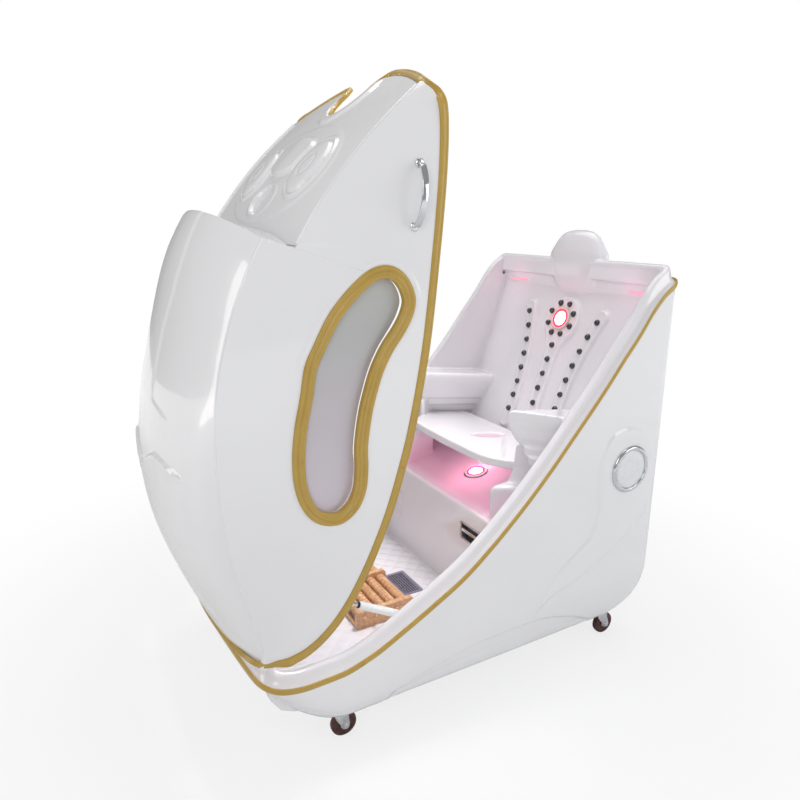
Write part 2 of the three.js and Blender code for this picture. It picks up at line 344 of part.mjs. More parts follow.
// a rounded stone standing on the rib's face
const ball = (s, y) => {
  const g = new THREE.LatheGeometry([[0, 0], [STONE_R, 2], [7, 9], [0, 11]].map(([r, n]) => new THREE.Vector2(r, n)), 6);
  g.rotateX(Math.PI / 2);
  g.applyMatrix4(new THREE.Matrix4().makeBasis(new THREE.Vector3(Math.sin(BACK_RECLINE), 0, Math.cos(BACK_RECLINE)), new THREE.Vector3(0, 1, 0), new THREE.Vector3(-Math.cos(BACK_RECLINE), 0, Math.sin(BACK_RECLINE))));
  const [x, z] = backPoint(s, 14.5); g.translate(x, y, z); return solid(g);
};
for (const [side, sg] of [['right', -1], ['left', 1]]) {
  const c = curve(ribPath.side), a = [], b = [];
  for (let s = -270; s <= 170; s += 48.8) { a.push([s, c(s) + 6]); b.push([s, c(s) - 6]); }
  let strip = solid(onBack([...a, ...b.reverse()], 14.5, 16.5));
  for (let i = 0; i < 8; i++) { const s = 154 - 52.6 * i; strip = strip.add(ball(s, c(s))); }
  const g = geometryFrom(strip);
  add(root, `stone_strip_${side}`, sg > 0 ? g : mirrorY(g), M(0x15151a, 0.08));
}
{
  let strip = solid(onBack([[-270, 6], [60, 6], [60, -6], [-270, -6]], 14.5, 16.5)).add(solid(onBack(circle(147, 0, 70, 20), 14.5, 16.5, [circle(147, 0, 43.5, 20)])));
  strip = strip.add(solid(onBack([[50, 6], [100, 6], [100, -6], [50, -6]], 14.5, 16.5)));
  for (const s of [49, -3.5, -56, -110, -166, -220]) strip = strip.add(ball(s, 0));
  for (let i = 0; i < 8; i++) { const t = (i + 0.5) * Math.PI / 4; strip = strip.add(ball(147 + 56 * Math.cos(t), 56 * Math.sin(t))); }
  add(root, 'stone_strip_centre', geometryFrom(strip), M(0x15151a, 0.08));
  const lens = new THREE.LatheGeometry([[0, 14.5], [42.4, 14.5], [42.4, 19], [34, 21.5], [30, 20], [0, 22]].map(([r, z]) => new THREE.Vector2(r, z)), 28);
  lens.rotateX(Math.PI / 2);
  const sx = Math.sin(BACK_RECLINE), cz = Math.cos(BACK_RECLINE);
  lens.applyMatrix4(new THREE.Matrix4().makeBasis(new THREE.Vector3(sx, 0, cz), new THREE.Vector3(0, 1, 0), new THREE.Vector3(-cz, 0, sx)));
  const [x, z] = backPoint(147); lens.translate(x, 0, z);
  add(root, 'back_lamp', geometryFrom(solid(lens)), M(0xff5a5a, 0.2));
}
// neck rest: a hump that rises through the rear rim
const neckForm = grow => ringBody([[1126, 86, 14], [1140, 99, 24], [1165, 112, 36], [1200, 124, 44], [1235, 138, 46], [1262, 146, 46], [1284, 120, 44], [1304, 99, 40], [1324, 84, 33], [1338, 70, 24], [1344 + grow, 52, 12]].map(([z, w, d], i) => {
  const sBack = (z - BACK_FOOT[1]) / Math.cos(BACK_RECLINE), low = z < 1190, rear = low ? backPoint(sBack)[0] - 1.5 : 1498.5, front = (low ? rear : 1490) - d - grow;
  const r = []; for (let a = 0; a <= 180; a += 20) { const t = a * Math.PI / 180; r.push([rear + grow - (rear + grow - front) * Math.pow(Math.sin(t), 0.7), (w + grow) * Math.cos(t), i ? z : z - grow]); }
  return r;
}));
{
  const rimNode = root.children.find(c => c.name === 'tub_rim');
  // the hump sits in a notch of the rear rim
  rimNode.geometry = geometryFrom(largest(solid(rimNode.geometry).subtract(solid(neckForm(0.6)))));
  const behind = solid(onBack([[-306, 380], [286, 380], [286, -380], [-306, -380]], -30, 0.8));
  const n = solid(neckForm(0)).subtract(behind).subtract(solid(boxAt(1490.8, 1560, -400, 400, 1000, 1208)));
  add(root, 'neck_rest', geometryFrom(largest(n)), liner());
}
// extractor grille in the footwell floor
{
  let g = solid(boxAt(748.4, 821.6, -69.6, 69.6, FLOOR_Z - 6, FLOOR_Z + 8)).subtract(solid(boxAt(756, 814, -62, 62, FLOOR_Z + 2, FLOOR_Z + 30)));
  for (let i = 0; i < 6; i++) g = g.subtract(solid(boxAt(759 + i * 9.4, 763.4 + i * 9.4, -58, 58, FLOOR_Z - 20, FLOOR_Z + 20)));
  add(root, 'footwell_grille', geometryFrom(g), M(0x6d6877, 0.4));
}
// foot roller: a timber frame with five ribbed rollers in two rows
const ROLLER_X = [556, 593, 630, 667, 704], ROLLER_Z = 216, ROLLER_Y = [-158, 28, 214];
{
  const rail = (y0, y1) => slabXZ([[534, 182], [726, 182], [730, 190], [730, 232], [722, 240], [538, 240], [530, 232], [530, 190]], y0, y1, ROLLER_X.map(x => circle(x, ROLLER_Z, 6.6, 8)));
  let f = solid(rail(-168, -150)).add(solid(rail(20, 36))).add(solid(rail(206, 224)));
  f = f.add(solid(boxAt(531, 541, -151, 207, 184, 196))).add(solid(boxAt(719, 729, -151, 207, 184, 196)));
  add(root, 'roller_frame', geometryFrom(f), M(0xd9a878, 0.5));
  ROLLER_X.forEach((x, i) => {
    const prof = [[0, -176], [6, -176], [6, -149], [16, -148]];
    prof.push([16, 19], [6, 19.6], [6, 36.4], [16, 37]);
    prof.push([16, 204], [6, 205.4], [6, 232], [0, 232]);
    const g = new THREE.LatheGeometry(prof.map(([r, y]) => new THREE.Vector2(r, y)), 8);
    g.translate(x, 0, ROLLER_Z);
    add(root, `foot_roller_${i + 1}`, geometryFrom(solid(g)), M(0xd9a878, 0.5));
  });
}
// round lamps on the flanks
for (const [side, sg] of [['right', -1], ['left', 1]]) {
  const g = new THREE.LatheGeometry([[0, 0], [70, 0], [76, 3], [76, 8], [71, 13], [62, 14], [58, 10], [0, 12.5]].map(([r, z]) => new THREE.Vector2(r, z)), 24);
  g.translate(1346, HALF_WIDTH + 0.5, 638);
  const b = geometryFrom(solid(g));
  add(root, `flank_lamp_${side}`, sg > 0 ? b : mirrorY(b), chrome());
}
// steel chassis under the footwell, steam generator and power inlet
{
  let f = solid(boxAt(380, 420, -300, 300, FLOOR_UNDER + SKIN + 0.4, 165)).add(solid(boxAt(1270, 1310, -300, 300, FLOOR_UNDER + SKIN + 0.4, 165))).add(solid(boxAt(1010, 1050, -290, 290, 128, 165))).add(solid(boxAt(1130, 1170, -290, 290, 128, 165))).add(solid(boxAt(410, 1280, -300, -260, 128, 165))).add(solid(boxAt(410, 1280, 260, 300, 128, 165))).add(solid(boxAt(860, 900, -290, 290, 128, 165)));
  add(root, 'chassis_frame', geometryFrom(f), steel());
  let s = solid(boxAt(1000, 1180, -110, 110, 165.4, 400)); s = s.add(solid((() => { const g = rodAlong('z', 16, 399, 440, 16); g.translate(1090, 0, 0); return g; })())).add(solid(boxAt(985, 1195, -60, 60, 165.4, 174)));
  add(root, 'steam_generator', geometryFrom(s), steel());
  let p = solid(boxAt(1500.6, 1504, -32, 32, 318, 374)).subtract(solid(boxAt(1501.5, 1510, -14, 14, 334, 356)));
  add(root, 'power_inlet', geometryFrom(p), M(0x202226, 0.4));
}
// ------------------------------------------------------------------- castors
CASTOR_X.forEach((cx, i) => [-1, 1].forEach(sg => {
  const name = `${i ? 'rear' : 'front'}_${sg < 0 ? 'right' : 'left'}`, cy = sg * CASTOR_Y * (i ? 1 : 0.97), dx = CASTOR_TRAIL[i], wheelX = cx;
  const sx = cx - dx;
  // fork: top plate, swivel boss and two cheeks
  let f = solid((() => { const g = rodAlong('z', 27, 104, 109.4, 20); g.translate(sx, cy, 0); return g; })()).add(solid((() => { const g = rodAlong('z', 17, 88, 106, 20); g.translate(sx, cy, 0); return g; })()));
  f = f.add(solid(boxAt(sx - 20, sx + 24, cy - 19, cy + 19, 80, 89)));
  for (const s of [-1, 1]) f = f.add(solid(slabXZ([[sx - 18, 88], [sx + 23, 88], [wheelX + 11, WHEEL_R + 2], [wheelX + 6, WHEEL_R - 9], [wheelX - 6, WHEEL_R - 9], [wheelX - 11, WHEEL_R + 2]], cy + s * 17.5 - 1.5, cy + s * 17.5 + 1.5)));
  add(root, `castor_fork_${name}`, geometryFrom(f), M(0xa8abb0, 0.3, 1));
  // the tread's lowest facet lies flat on the floor
  const R = WHEEL_R / Math.cos(Math.PI / 18);
  const w = new THREE.LatheGeometry([[0, -22], [5, -22], [5, -13], [34, -11], [R, -7], [R, 7], [34, 11], [5, 13], [5, 22], [0, 22]].map(([r, y]) => new THREE.Vector2(r, y)), 18);
  w.rotateY(Math.PI / 18); w.translate(wheelX, cy, WHEEL_R);
  let wheel = solid(w);
  // the axle's clearance holes in the cheeks
  const fork = root.children[root.children.length - 1];
  const bore = rodAlong('y', 5.4, cy - 30, cy + 30, 12); bore.translate(wheelX, 0, WHEEL_R);
  fork.geometry = geometryFrom(solid(fork.geometry).subtract(solid(bore)));
  add(root, `castor_wheel_${name}`, geometryFrom(wheel), M(0x4a2320, 0.45));
}));

// ----------------------------------------------------------------------- lid
const lidSideY = (p, q) => { // half width of the lid's side at (p, q)
  const top = p < 985 ? lidCrease(p) : sideCrease(p), bot = lidRim(p), yc = lidCreaseY(p), yr = lidRimY(p);
  const t = Math.min(1, Math.max(0, (top - q) / Math.max(1, top - bot)));
  return yc + (yr - yc) * (1 - Math.pow(1 - t, 1.7));
};
const crownA = curve(CROWN_A), crownB = curve(CROWN_B);
const crown = (r, p = -22) => Math.pow(Math.max(0, 1 - Math.pow(Math.abs(r), crownA(p))), crownB(p));
const NOTCH_P = 1376, NOTCH_HALF = 122;
const headEdge = y => { const a = Math.abs(y); return 1510 - Math.max(0, (a - 110)) ** 1.6 * 0.0098; };
const shoulderQ = (p, y) => shoulder(p) + 10 * (1 - (y / 380) ** 2);
// Ochre edge trim round the whole lid edge: foot, sides, head and neck notch.
// Grown a little, the same strip cuts the panels' edges back to it.
function edgeTrim(grow) {
  const st = []; // {P, D (into the panel), N (outward)}
  const side = [];
  for (const p of [30, 44, 60, 80, 104, 135, 170, 213, 270, 322, 400, 475, 560, 638, 740, 860, 960, 1065, 1150, 1238, 1300, 1345, 1377, 1398]) {
    const slope = (lidRim(p + 3) - lidRim(p - 3)) / 6, l = Math.hypot(1, slope);
    side.push({ P: [p, lidRimY(p) + 0.4, lidRim(p)], D: [-slope / l, 0, 1 / l], N: [0, 1, 0] });
  }
  const corner = [{ P: [1414, 414, -16], D: [-0.75, -0.45, 0.45], N: [0.05, 0.85, 0.5] }, { P: [1424, 398, -1], D: [-0.9, -0.35, 0.2], N: [0.25, 0.5, 0.83] }];
  const head = [];
  for (const y of [372, 330, 280, 230, 180, 140]) { const p = headEdge(y) , q = shoulderQ(Math.min(p, 1510), y); head.push({ P: [p, y, q + 0.6], D: [-0.9, 0, 0.43], N: [0.43, 0, 0.9] }); }
  const notch = [{ P: [1504, 112, shoulderQ(1504, 112) + 0.6], D: [-0.62, 0.72, 0.3], N: [0.43, 0, 0.9] }];
  for (let a = 0; a <= 90; a += 18) { const t = a * Math.PI / 180, p = NOTCH_P + TRIM_W * 0.35 + 88 - 88 * Math.sin(t) * 1, y = 84 * Math.cos(t); notch.push({ P: [p, y, shoulderQ(p, y) + 0.6], D: [-0.9 * Math.sin(t), Math.cos(t), 0.43 * Math.sin(t)], N: [0.43, 0, 0.9], W: 7 }); }
  const half = [...side, ...corner, ...head, ...notch];
  const foot = [{ P: [20, 404, -34], D: [0.35, -0.1, 0.9], N: [-0.5, 0.85, 0] }, { P: [6, 384, -8], D: [0.45, 0, 0.88], N: [-0.88, 0.3, 0.4] }];
  for (const v of [0.86, 0.7, 0.5, 0.25]) { const y = v * 398, p = 8 - 30 * (1 - v * v), q = -5 + 42 * crown(v); foot.push({ P: [p, y, q - 4], D: [0.5, 0, 0.86], N: [-0.86, 0, 0.5] }); }
  const loop = [...foot.slice().reverse(), ...half];
  const mir = s => ({ P: [s.P[0], -s.P[1], s.P[2]], D: [s.D[0], -s.D[1], s.D[2]], N: [s.N[0], -s.N[1], s.N[2]], W: s.W });
  const mid = { P: [-24, 0, 33], D: [0.55, 0, 0.83], N: [-0.83, 0, 0.55] };
  const all = [mid, ...loop, ...loop.slice(0, -1).reverse().map(mir)];
  const rings = all.map(({ P, D, N, W }) => {
    const nl = Math.hypot(...N), n = N.map(v => v / nl), dl = Math.hypot(...D), d = D.map(v => v / dl), w = W || TRIM_W;
    const at = (a, b) => [0, 1, 2].map(k => P[k] + d[k] * a + n[k] * b);
    return [at(-grow * 8, 1.5 + grow), at(w * 0.5, 3 + grow), at(w + grow, 1.5 + grow), at(w + grow, -9 - grow), at(-grow * 8, -9 - grow)];
  });

  return ringBody(rings, true);
}
add(lidGroup, 'lid_edge_trim', bare(edgeTrim(0)), ochre());
const trimCutter = solid(edgeTrim(0.5));

{ // dome: the crowned front between the two creases
  const ps = [0, 0.03, 0.07, 0.12, 0.18, 0.26, 0.35, 0.45, 0.56, 0.68, 0.8, 0.9, 1], vs = [-1, -0.965, -0.9, -0.78, -0.6, -0.4, -0.2, 0, 0.2, 0.4, 0.6, 0.78, 0.9, 0.965, 1];
  const outer = [], inner = [];
  for (const u of ps) {
    const pT = -22 + u * (RIDGE_P + 22), pC = 8 + u * (983 - 8), ro = [], ri = [];
    for (const v of vs) {
      const yc = lidCreaseY(pC) - SKIN - 1, p = pC + (pT - pC) * (1 - v * v), qc = lidCrease(pC) - 0.5, qt = lidCentre(pT);
      const q = qc + (qt - qc) * crown(v, pT);
      ro.push([p, v * yc, q]);
      ri.push([p + 7 * (1 - u) * (1 - u), v * yc * (v * v > 0.98 ? 1 : 0.99), q - SKIN - 2 * (1 - u)]);
    }
    outer.push(ro); inner.push(ri);
  }
  add(lidGroup, 'lid_dome', geometryFrom(largest(solid(skinBody(outer, inner)).subtract(trimCutter))), white());
}
{ // head panel, with the neck notch
  const ps = [0, 0.12, 0.26, 0.4, 0.52, 0.64, 0.74, 0.84, 0.92, 1], ys = [-1, -0.8, -0.6, -0.4, -0.2, 0, 0.2, 0.4, 0.6, 0.8, 1];
  const outer = [], inner = [];
  for (const u of ps) {
    const ro = [], ri = [];
    for (const v of ys) {
      // half width follows the sides' crease and narrows at the head corners
      const pe = 992 + u * (1424 - 992), w = lidSideY(pe, Math.min(shoulder(pe), sideCrease(pe) - 1)) - SKIN - 1.2;
      const y = v * w, p = 992 + u * (headEdge(y) - TRIM_W - GAP - 992), q = shoulderQ(p, y);
      ro.push([p, y, q]); ri.push([p, y, q - SKIN]);
    }
    outer.push(ro); inner.push(ri);
  }
  let g = solid(skinBody(outer, inner)).subtract(trimCutter);
  const notch = []; // outline in (p, y)
  for (let a = 180; a >= 0; a -= 20) { const t = a * Math.PI / 180; notch.push([NOTCH_P + 88 - 88 * Math.sin(t) , 96 * Math.cos(t) * (1)]); }
  const cut = new THREE.Shape([[1700, -150], ...notch.map(([p, y]) => [p - TRIM_W * 0, y * 1.02]), [1700, 150]].map(([a, b]) => new THREE.Vector2(a, b)));
  const cg = new THREE.ExtrudeGeometry(cut, { depth: 300, bevelEnabled: false }); cg.translate(0, 0, -150);
  g = g.subtract(solid(cg));
  add(lidGroup, 'lid_head_panel', geometryFrom(largest(g)), white());
}
{ // step panel that closes the dome's head end down to the head panel
  const us = [-1, -0.96, -0.88, -0.72, -0.5, -0.25, 0, 0.25, 0.5, 0.72, 0.88, 0.96, 1], outer = [[], []], inner = [[], []];
  for (const v of us) {
    const yc = lidCreaseY(980) - SKIN - 1.5, y = v * yc, p = 983 + (RIDGE_P - 985) * (1 - v * v);
    const top = lidCrease(983) + (lidCentre(RIDGE_P) - lidCrease(983)) * crown(v, RIDGE_P) - SKIN - 4, bot = Math.min(top - 6, shoulderQ(p - 8, y) + 1);
    outer[0].push([p, y, bot]); outer[1].push([p, y, top]); inner[0].push([p - 6, y, bot]); inner[1].push([p - 6, y, top]);
  }
  add(lidGroup, 'lid_step_panel', skinBody(outer, inner), white());
}
const windowOuter = WINDOW, windowInner = offsetLoop(WINDOW, WINDOW_BORDER);
for (const [side, sg] of [['right', -1], ['left', 1]]) { // side panels with the window opening
  const ps = [10, 18, 32, 60, 100, 170, 270, 400, 560, 740, 880, 984, 987, 1070, 1170, 1270, 1345, 1390, 1420], ts = [0, 0.12, 0.3, 0.55, 1];
  const outer = [], inner = [];
  for (const p of ps) {
    const top = (p < 985.5 ? lidCrease(p) : Math.min(shoulder(p) + 0.5, sideCrease(p))) - 0.3, slope = (lidRim(p + 4) - lidRim(p - 4)) / 8, drop = Math.min((TRIM_W + GAP) * Math.sqrt(1 + slope * slope), 60);
    const bot = Math.min(lidRim(p) + drop, top - 3);
    const ro = [], ri = [];
    for (const t of ts) { const q = bot + (top - bot) * t, y = lidSideY(p, q); ro.push([p, y, q]); ri.push([p, y - SKIN, q]); }
    outer.push(ro); inner.push(ri);
  }
  let g = solid(skinBody(outer, inner));
  g = g.subtract(trimCutter).subtract(solid(slabXZ(offsetLoop(windowOuter, 6), 300, 500)));
  { // ball stud for the gas strut's rod, on the wall's inner face
    const [sp, sq] = toLid(STRUT_TOP[0], STRUT_TOP[1]), yw = lidSideY(sp, sq) - SKIN + 2;
    const s1 = rodAlong('y', 4, STRUT_Y + 6.5, yw, 10), s2 = rodAlong('y', 11, yw - 12, yw, 12);
    s1.translate(sp, 0, sq); s2.translate(sp, 0, sq); g = g.add(solid(s1)).add(solid(s2));
  }
  let b = geometryFrom(largest(g));
  if (sg < 0) b = geometryFrom(largest(solid(mirrorY(b)).subtract(trimCutter)));
  add(lidGroup, `lid_side_${side}`, b, white());
  // window frame: follows the side's curve, with a raised lip
  const loop = windowOuter, inLoop = windowInner, mid = offsetLoop(WINDOW, 7), n = loop.length;
  const rings = loop.map((_, i) => {
    const [p0, q0] = loop[i], [p1, q1] = mid[i], [p2, q2] = inLoop[i];
    const Y = (p, q) => lidSideY(p, q);
    return [[p0, Y(p0, q0) + 0.6, q0], [p0 + (p1 - p0) * 0.3, Y(p0, q0) + 5, q0 + (q1 - q0) * 0.3], [p2, Y(p2, q2) + 5, q2], [p2, Y(p2, q2) - SKIN - 4, q2], [p1 + (p2 - p1) * 0.1, Y(p1, q1) - SKIN - 4, q1 + (q2 - q1) * 0.1], [p1 + (p2 - p1) * 0.1, Y(p1, q1) + 0.6, q1 + (q2 - q1) * 0.1]];
  });
  const fr = bare(ringBody(rings, true));
  add(lidGroup, `window_frame_${side}`, sg > 0 ? fr : mirrorY(fr), ochre());
  // pane behind the frame's lip
  const pl = offsetLoop(WINDOW, WINDOW_BORDER + 0.6);
  const c = [pl.reduce((s, v) => s + v[0], 0) / n, pl.reduce((s, v) => s + v[1], 0) / n];
  const yMin = Math.min(...pl.map(([p, q]) => lidSideY(p, q)));
  const pane = slabXZ(pl, yMin - 9, yMin - 5);
  add(lidGroup, `window_pane_${side}`, sg > 0 ? bare(pane) : mirrorY(pane), M(0xc9cbcd, 0.2, 0, 0.5));
  // pull handle: a flat chrome bow on two feet
  const H = [[1113, -48], [1250, -16]];
  const bow = [];
  const N = 10, len = Math.hypot(H[1][0] - H[0][0], H[1][1] - H[0][1]), dx = (H[1][0] - H[0][0]) / len, dz = (H[1][1] - H[0][1]) / len;
  for (let i = 0; i <= N; i++) {
    const a = i / N, p = H[0][0] + dx * len * a, q = H[0][1] + dz * len * a, out = 1.8 + 30 * Math.pow(Math.sin(Math.PI * a), 0.55), yb = lidSideY(p, q);
    const w = 8, th = 5;
    bow.push([[p - dz * w, yb + out, q + dx * w], [p + dz * w, yb + out, q - dx * w], [p + dz * w, yb + out + th, q - dx * w], [p - dz * w, yb + out + th, q + dx * w]]);
  }
  const hg = bare(ringBody(bow));
  add(lidGroup, `lid_handle_${side}`, sg > 0 ? hg : mirrorY(hg), chrome());
}
// ------------------------------------------------- hinges and gas struts
for (const [side, sg] of [['right', -1], ['left', 1]]) {
  const y0 = 190, [hx, hz] = LID_PIVOT;
  // bracket on the rim's inner face: two ears and the pin
  let b = solid(boxAt(196, 202, y0 - 30, y0 + 30, 262, 318)).add(solid(slabXZ([[160, 343], [172, 343], [202, 322], [202, 300], [188, 322], [168, 330], [160, 336]].reverse(), y0 - 30, y0 - 24))).add(solid(slabXZ([[160, 343], [172, 343], [202, 322], [202, 300], [188, 322], [168, 330], [160, 336]].reverse(), y0 + 24, y0 + 30)));
  for (const e of [-27, 27]) { const d = rodAlong('y', 11, y0 + e - 3, y0 + e + 3, 18); d.translate(hx, 0, hz); b = b.add(solid(d)); }
  const pin = rodAlong('y', 5, y0 - 30, y0 + 30, 16); pin.translate(hx, 0, hz); b = b.add(solid(pin));
  const bg = geometryFrom(b); add(root, `hinge_bracket_${side}`, sg > 0 ? bg : mirrorY(bg), steel());
  // arm on the lid: knuckle round the pin and a blade up to the dome
  const knuckle = rodAlong('y', 11, y0 - 23, y0 + 23, 18); knuckle.translate(hx, 0, hz);
  let a = solid(knuckle).add(solid(slabXZ([[156, 352], [174, 352], [150, 420], [118, 452], [108, 448], [134, 400]], y0 - 14, y0 + 14)));
  const bore = rodAlong('y', 5.4, y0 - 40, y0 + 40, 16); bore.translate(hx, 0, hz); a = a.subtract(solid(bore));
  const ag = geometryFrom(a); add(root, `hinge_arm_${side}`, sg > 0 ? ag : mirrorY(ag), steel());
}
for (const [side, sg] of [['right', -1], ['left', 1]]) {
  const dx = STRUT_TOP[0] - STRUT_BASE[0], dz = STRUT_TOP[1] - STRUT_BASE[1], L = Math.hypot(dx, dz), ang = Math.atan2(dz, dx);
  const place = g => { g.rotateY(-ang); g.translate(STRUT_BASE[0], STRUT_Y, STRUT_BASE[1]); return g; };
  let c = solid(place(rodAlong('x', 11, 14, 204, 20))).subtract(solid(place(rodAlong('x', 5.4, 30, 260, 16))));
  const eye = rodAlong('y', 9, -5, 5, 16); let e = solid(place(eye)).add(solid(place(boxAt(5, 20, -4, 4, -5, 5))));
  // the eye's pin and its flange, which turns against the side liner
  c = c.add(e).add(solid(place(rodAlong('y', 10, 4, WALL_Y - GAP - STRUT_Y, 16))));
  const cg = geometryFrom(c); add(root, `strut_cylinder_${side}`, sg > 0 ? cg : mirrorY(cg), M(0xf0f0f2, 0.25));
  let r = solid(place(rodAlong('x', 5, 112, L - 8, 14))).add(solid(place((() => { const g = rodAlong('y', 9, -5, 5, 16); g.translate(L, 0, 0); return g; })())));
  const rg = geometryFrom(r); add(root, `strut_rod_${side}`, sg > 0 ? rg : mirrorY(rg), chrome());
}

export default root;
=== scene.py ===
import bpy, bmesh, json, math
import numpy as np
from mathutils import Matrix, Vector


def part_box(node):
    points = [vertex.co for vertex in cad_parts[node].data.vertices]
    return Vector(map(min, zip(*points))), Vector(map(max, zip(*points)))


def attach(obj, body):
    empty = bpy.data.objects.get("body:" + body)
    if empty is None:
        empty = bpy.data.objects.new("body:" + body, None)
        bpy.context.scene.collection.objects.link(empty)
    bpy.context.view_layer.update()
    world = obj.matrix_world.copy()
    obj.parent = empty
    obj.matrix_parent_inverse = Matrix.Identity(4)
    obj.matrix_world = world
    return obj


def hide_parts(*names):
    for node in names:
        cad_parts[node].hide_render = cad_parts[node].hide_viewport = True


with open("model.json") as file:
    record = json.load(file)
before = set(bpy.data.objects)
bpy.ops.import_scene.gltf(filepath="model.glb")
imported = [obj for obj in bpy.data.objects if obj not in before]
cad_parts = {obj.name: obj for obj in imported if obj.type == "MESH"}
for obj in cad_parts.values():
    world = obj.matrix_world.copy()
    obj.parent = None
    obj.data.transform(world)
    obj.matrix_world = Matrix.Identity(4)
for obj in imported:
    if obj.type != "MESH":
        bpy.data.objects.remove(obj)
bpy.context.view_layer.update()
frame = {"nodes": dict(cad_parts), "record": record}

N = frame["nodes"]
pi = math.pi

# --------------------------------------------------------------------------
# The object's frame: tub coordinates in mm, and the lid's own (p, y, q) frame
# --------------------------------------------------------------------------
OX = round(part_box("seat_front_panel")[0].x * 1000 - 920, 2)
LC, LS = math.cos(math.radians(70.7)), math.sin(math.radians(70.7))


def tub(P):
    P = np.asarray(P, float).reshape(-1, 3).copy()
    P[:, 0] += OX
    return P / 1000.0


def lidw(P):
    """(p, y, q) in mm to the row frame in m."""
    P = np.asarray(P, float).reshape(-1, 3)
    return np.stack([(160 + P[:, 0] * LC - P[:, 2] * LS + OX), P[:, 1], 330 + P[:, 0] * LS + P[:, 2] * LC], 1) / 1000.0


HALF, REAR = 425.0, 1500.0
TRIM_LINE = [[135, 283], [170, 280], [215, 272], [280, 266], [364, 268], [451, 290], [543, 332], [637, 380], [735, 435], [827, 505], [922, 589], [1018, 684], [1114, 790], [1213, 902], [1281, 986], [1342, 1059], [1391, 1126], [1432, 1168], [1477, 1196], [1500, 1206]]
RIM_RISE = [[135, 34], [250, 32], [400, 32], [600, 36], [900, 42], [1200, 50], [1400, 58], [1460, 52], [1500, 44]]
PLAN = [[135, 0], [137, 90], [144, 180], [152, 270], [160, 340], [168, 375], [182, 400], [205, 416], [240, 424], [290, 425]]
SHELL_LEVELS = [[96, 205, 374, 1335], [106, 185, 391, 1366], [128, 150, 402, 1418], [165, 100, 411, 1468], [215, 48, 419, 1494], [262, 10, 424, 1500], [300, 0, 425, 1500], [1240, 0, 425, 1500]]
LID_CENTRE = [[-22, 39], [10, 68], [55, 108], [110, 154], [164, 196], [207, 227], [274, 267], [348, 299], [444, 324], [521, 335], [627, 345], [719, 352], [797, 356], [861, 358], [912, 356], [966, 349], [1020, 338]]
CROWN_A, CROWN_B, RIDGE_P = [[-22, 2.6], [300, 2.4], [650, 1.95], [1020, 1.85]], [[-22, 0.75], [300, 0.8], [650, 1.0], [1020, 0.95]], 1020
LID_CREASE = [[6, -5], [40, -2], [73, 10], [120, 38], [179, 79], [291, 145], [397, 194], [523, 240], [633, 268], [710, 278], [806, 282], [900, 276], [985, 263]]
LID_CREASE_Y = [[6, 398], [40, 392], [73, 386], [179, 374], [397, 370], [985, 371]]
LID_RIM = [[6, -5], [18, -38], [30, -60], [60, -102], [104, -139], [150, -164], [213, -186], [322, -207], [400, -215], [475, -218], [638, -212], [740, -200], [860, -181], [1065, -135], [1238, -91], [1330, -62], [1377, -43], [1405, -26], [1425, -4]]
LID_RIM_Y = [[6, 399], [18, 413], [30, 420], [60, 424], [104, 425], [1377, 425], [1405, 421], [1425, 408]]
SIDE_CREASE = [[985, 263], [1050, 244], [1150, 200], [1250, 146], [1350, 84], [1425, 22]]
SHOULDER = [[940, 207], [980, 196], [1050, 180], [1129, 156], [1200, 130], [1261, 104], [1340, 64], [1415, 22], [1460, -4], [1510, -34]]
WINDOW_XZ = [[0.662, 0.793], [0.713, 0.840], [0.759, 0.865], [0.822, 0.894], [0.874, 0.908], [0.929, 0.915], [0.972, 0.912], [1.005, 0.894], [1.023, 0.862], [1.024, 0.824], [1.010, 0.787], [0.980, 0.762], [0.942, 0.745], [0.894, 0.730], [0.848, 0.708], [0.807, 0.680], [0.761, 0.643], [0.710, 0.592], [0.678, 0.549], [0.640, 0.508], [0.597, 0.484], [0.551, 0.482], [0.517, 0.504], [0.498, 0.542], [0.501, 0.591], [0.524, 0.645], [0.564, 0.700], [0.612, 0.750]]
_c, _s = math.cos(math.radians(34.5)), math.sin(math.radians(34.5))
WINDOW = [((x * 1000 - 160) * _c + (z * 1000 - 330) * _s, -(x * 1000 - 160) * _s + (z * 1000 - 330) * _c) for x, z in WINDOW_XZ]


def curve(T):
    """Monotone cubic through a table, for arrays."""
    x = np.array([t[0] for t in T], float); y = np.array([t[1] for t in T], float)
    h = np.diff(x); d = np.diff(y) / h; m = np.zeros(len(x)); m[0], m[-1] = d[0], d[-1]
    for i in range(1, len(x) - 1):
        if d[i - 1] * d[i] > 0:
            w1, w2 = 2 * h[i] + h[i - 1], h[i] + 2 * h[i - 1]
            m[i] = (w1 + w2) / (w1 / d[i - 1] + w2 / d[i])

    def f(v):
        v = np.asarray(v, float); vc = np.clip(v, x[0], x[-1])
        i = np.clip(np.searchsorted(x, vc, side="right") - 1, 0, len(x) - 2)
        t = (vc - x[i]) / h[i]; t2, t3 = t * t, t * t * t
        return (2 * t3 - 3 * t2 + 1) * y[i] + (t3 - 2 * t2 + t) * h[i] * m[i] + (-2 * t3 + 3 * t2) * y[i + 1] + (t3 - t2) * h[i] * m[i + 1]
    return f


trimZ, rimRise = curve(TRIM_LINE), curve(RIM_RISE)
lidCentre, lidCrease, lidCreaseY, lidRim, lidRimY = map(curve, (LID_CENTRE, LID_CREASE, LID_CREASE_Y, LID_RIM, LID_RIM_Y))
sideCrease, shoulder = curve(SIDE_CREASE), curve(SHOULDER)
lev = [curve([[r[0], r[k]] for r in SHELL_LEVELS]) for k in (1, 2, 3)]


def sstep(a, b, v):
    t = np.clip((np.asarray(v, float) - a) / (b - a), 0, 1)
    return t * t * (3 - 2 * t)


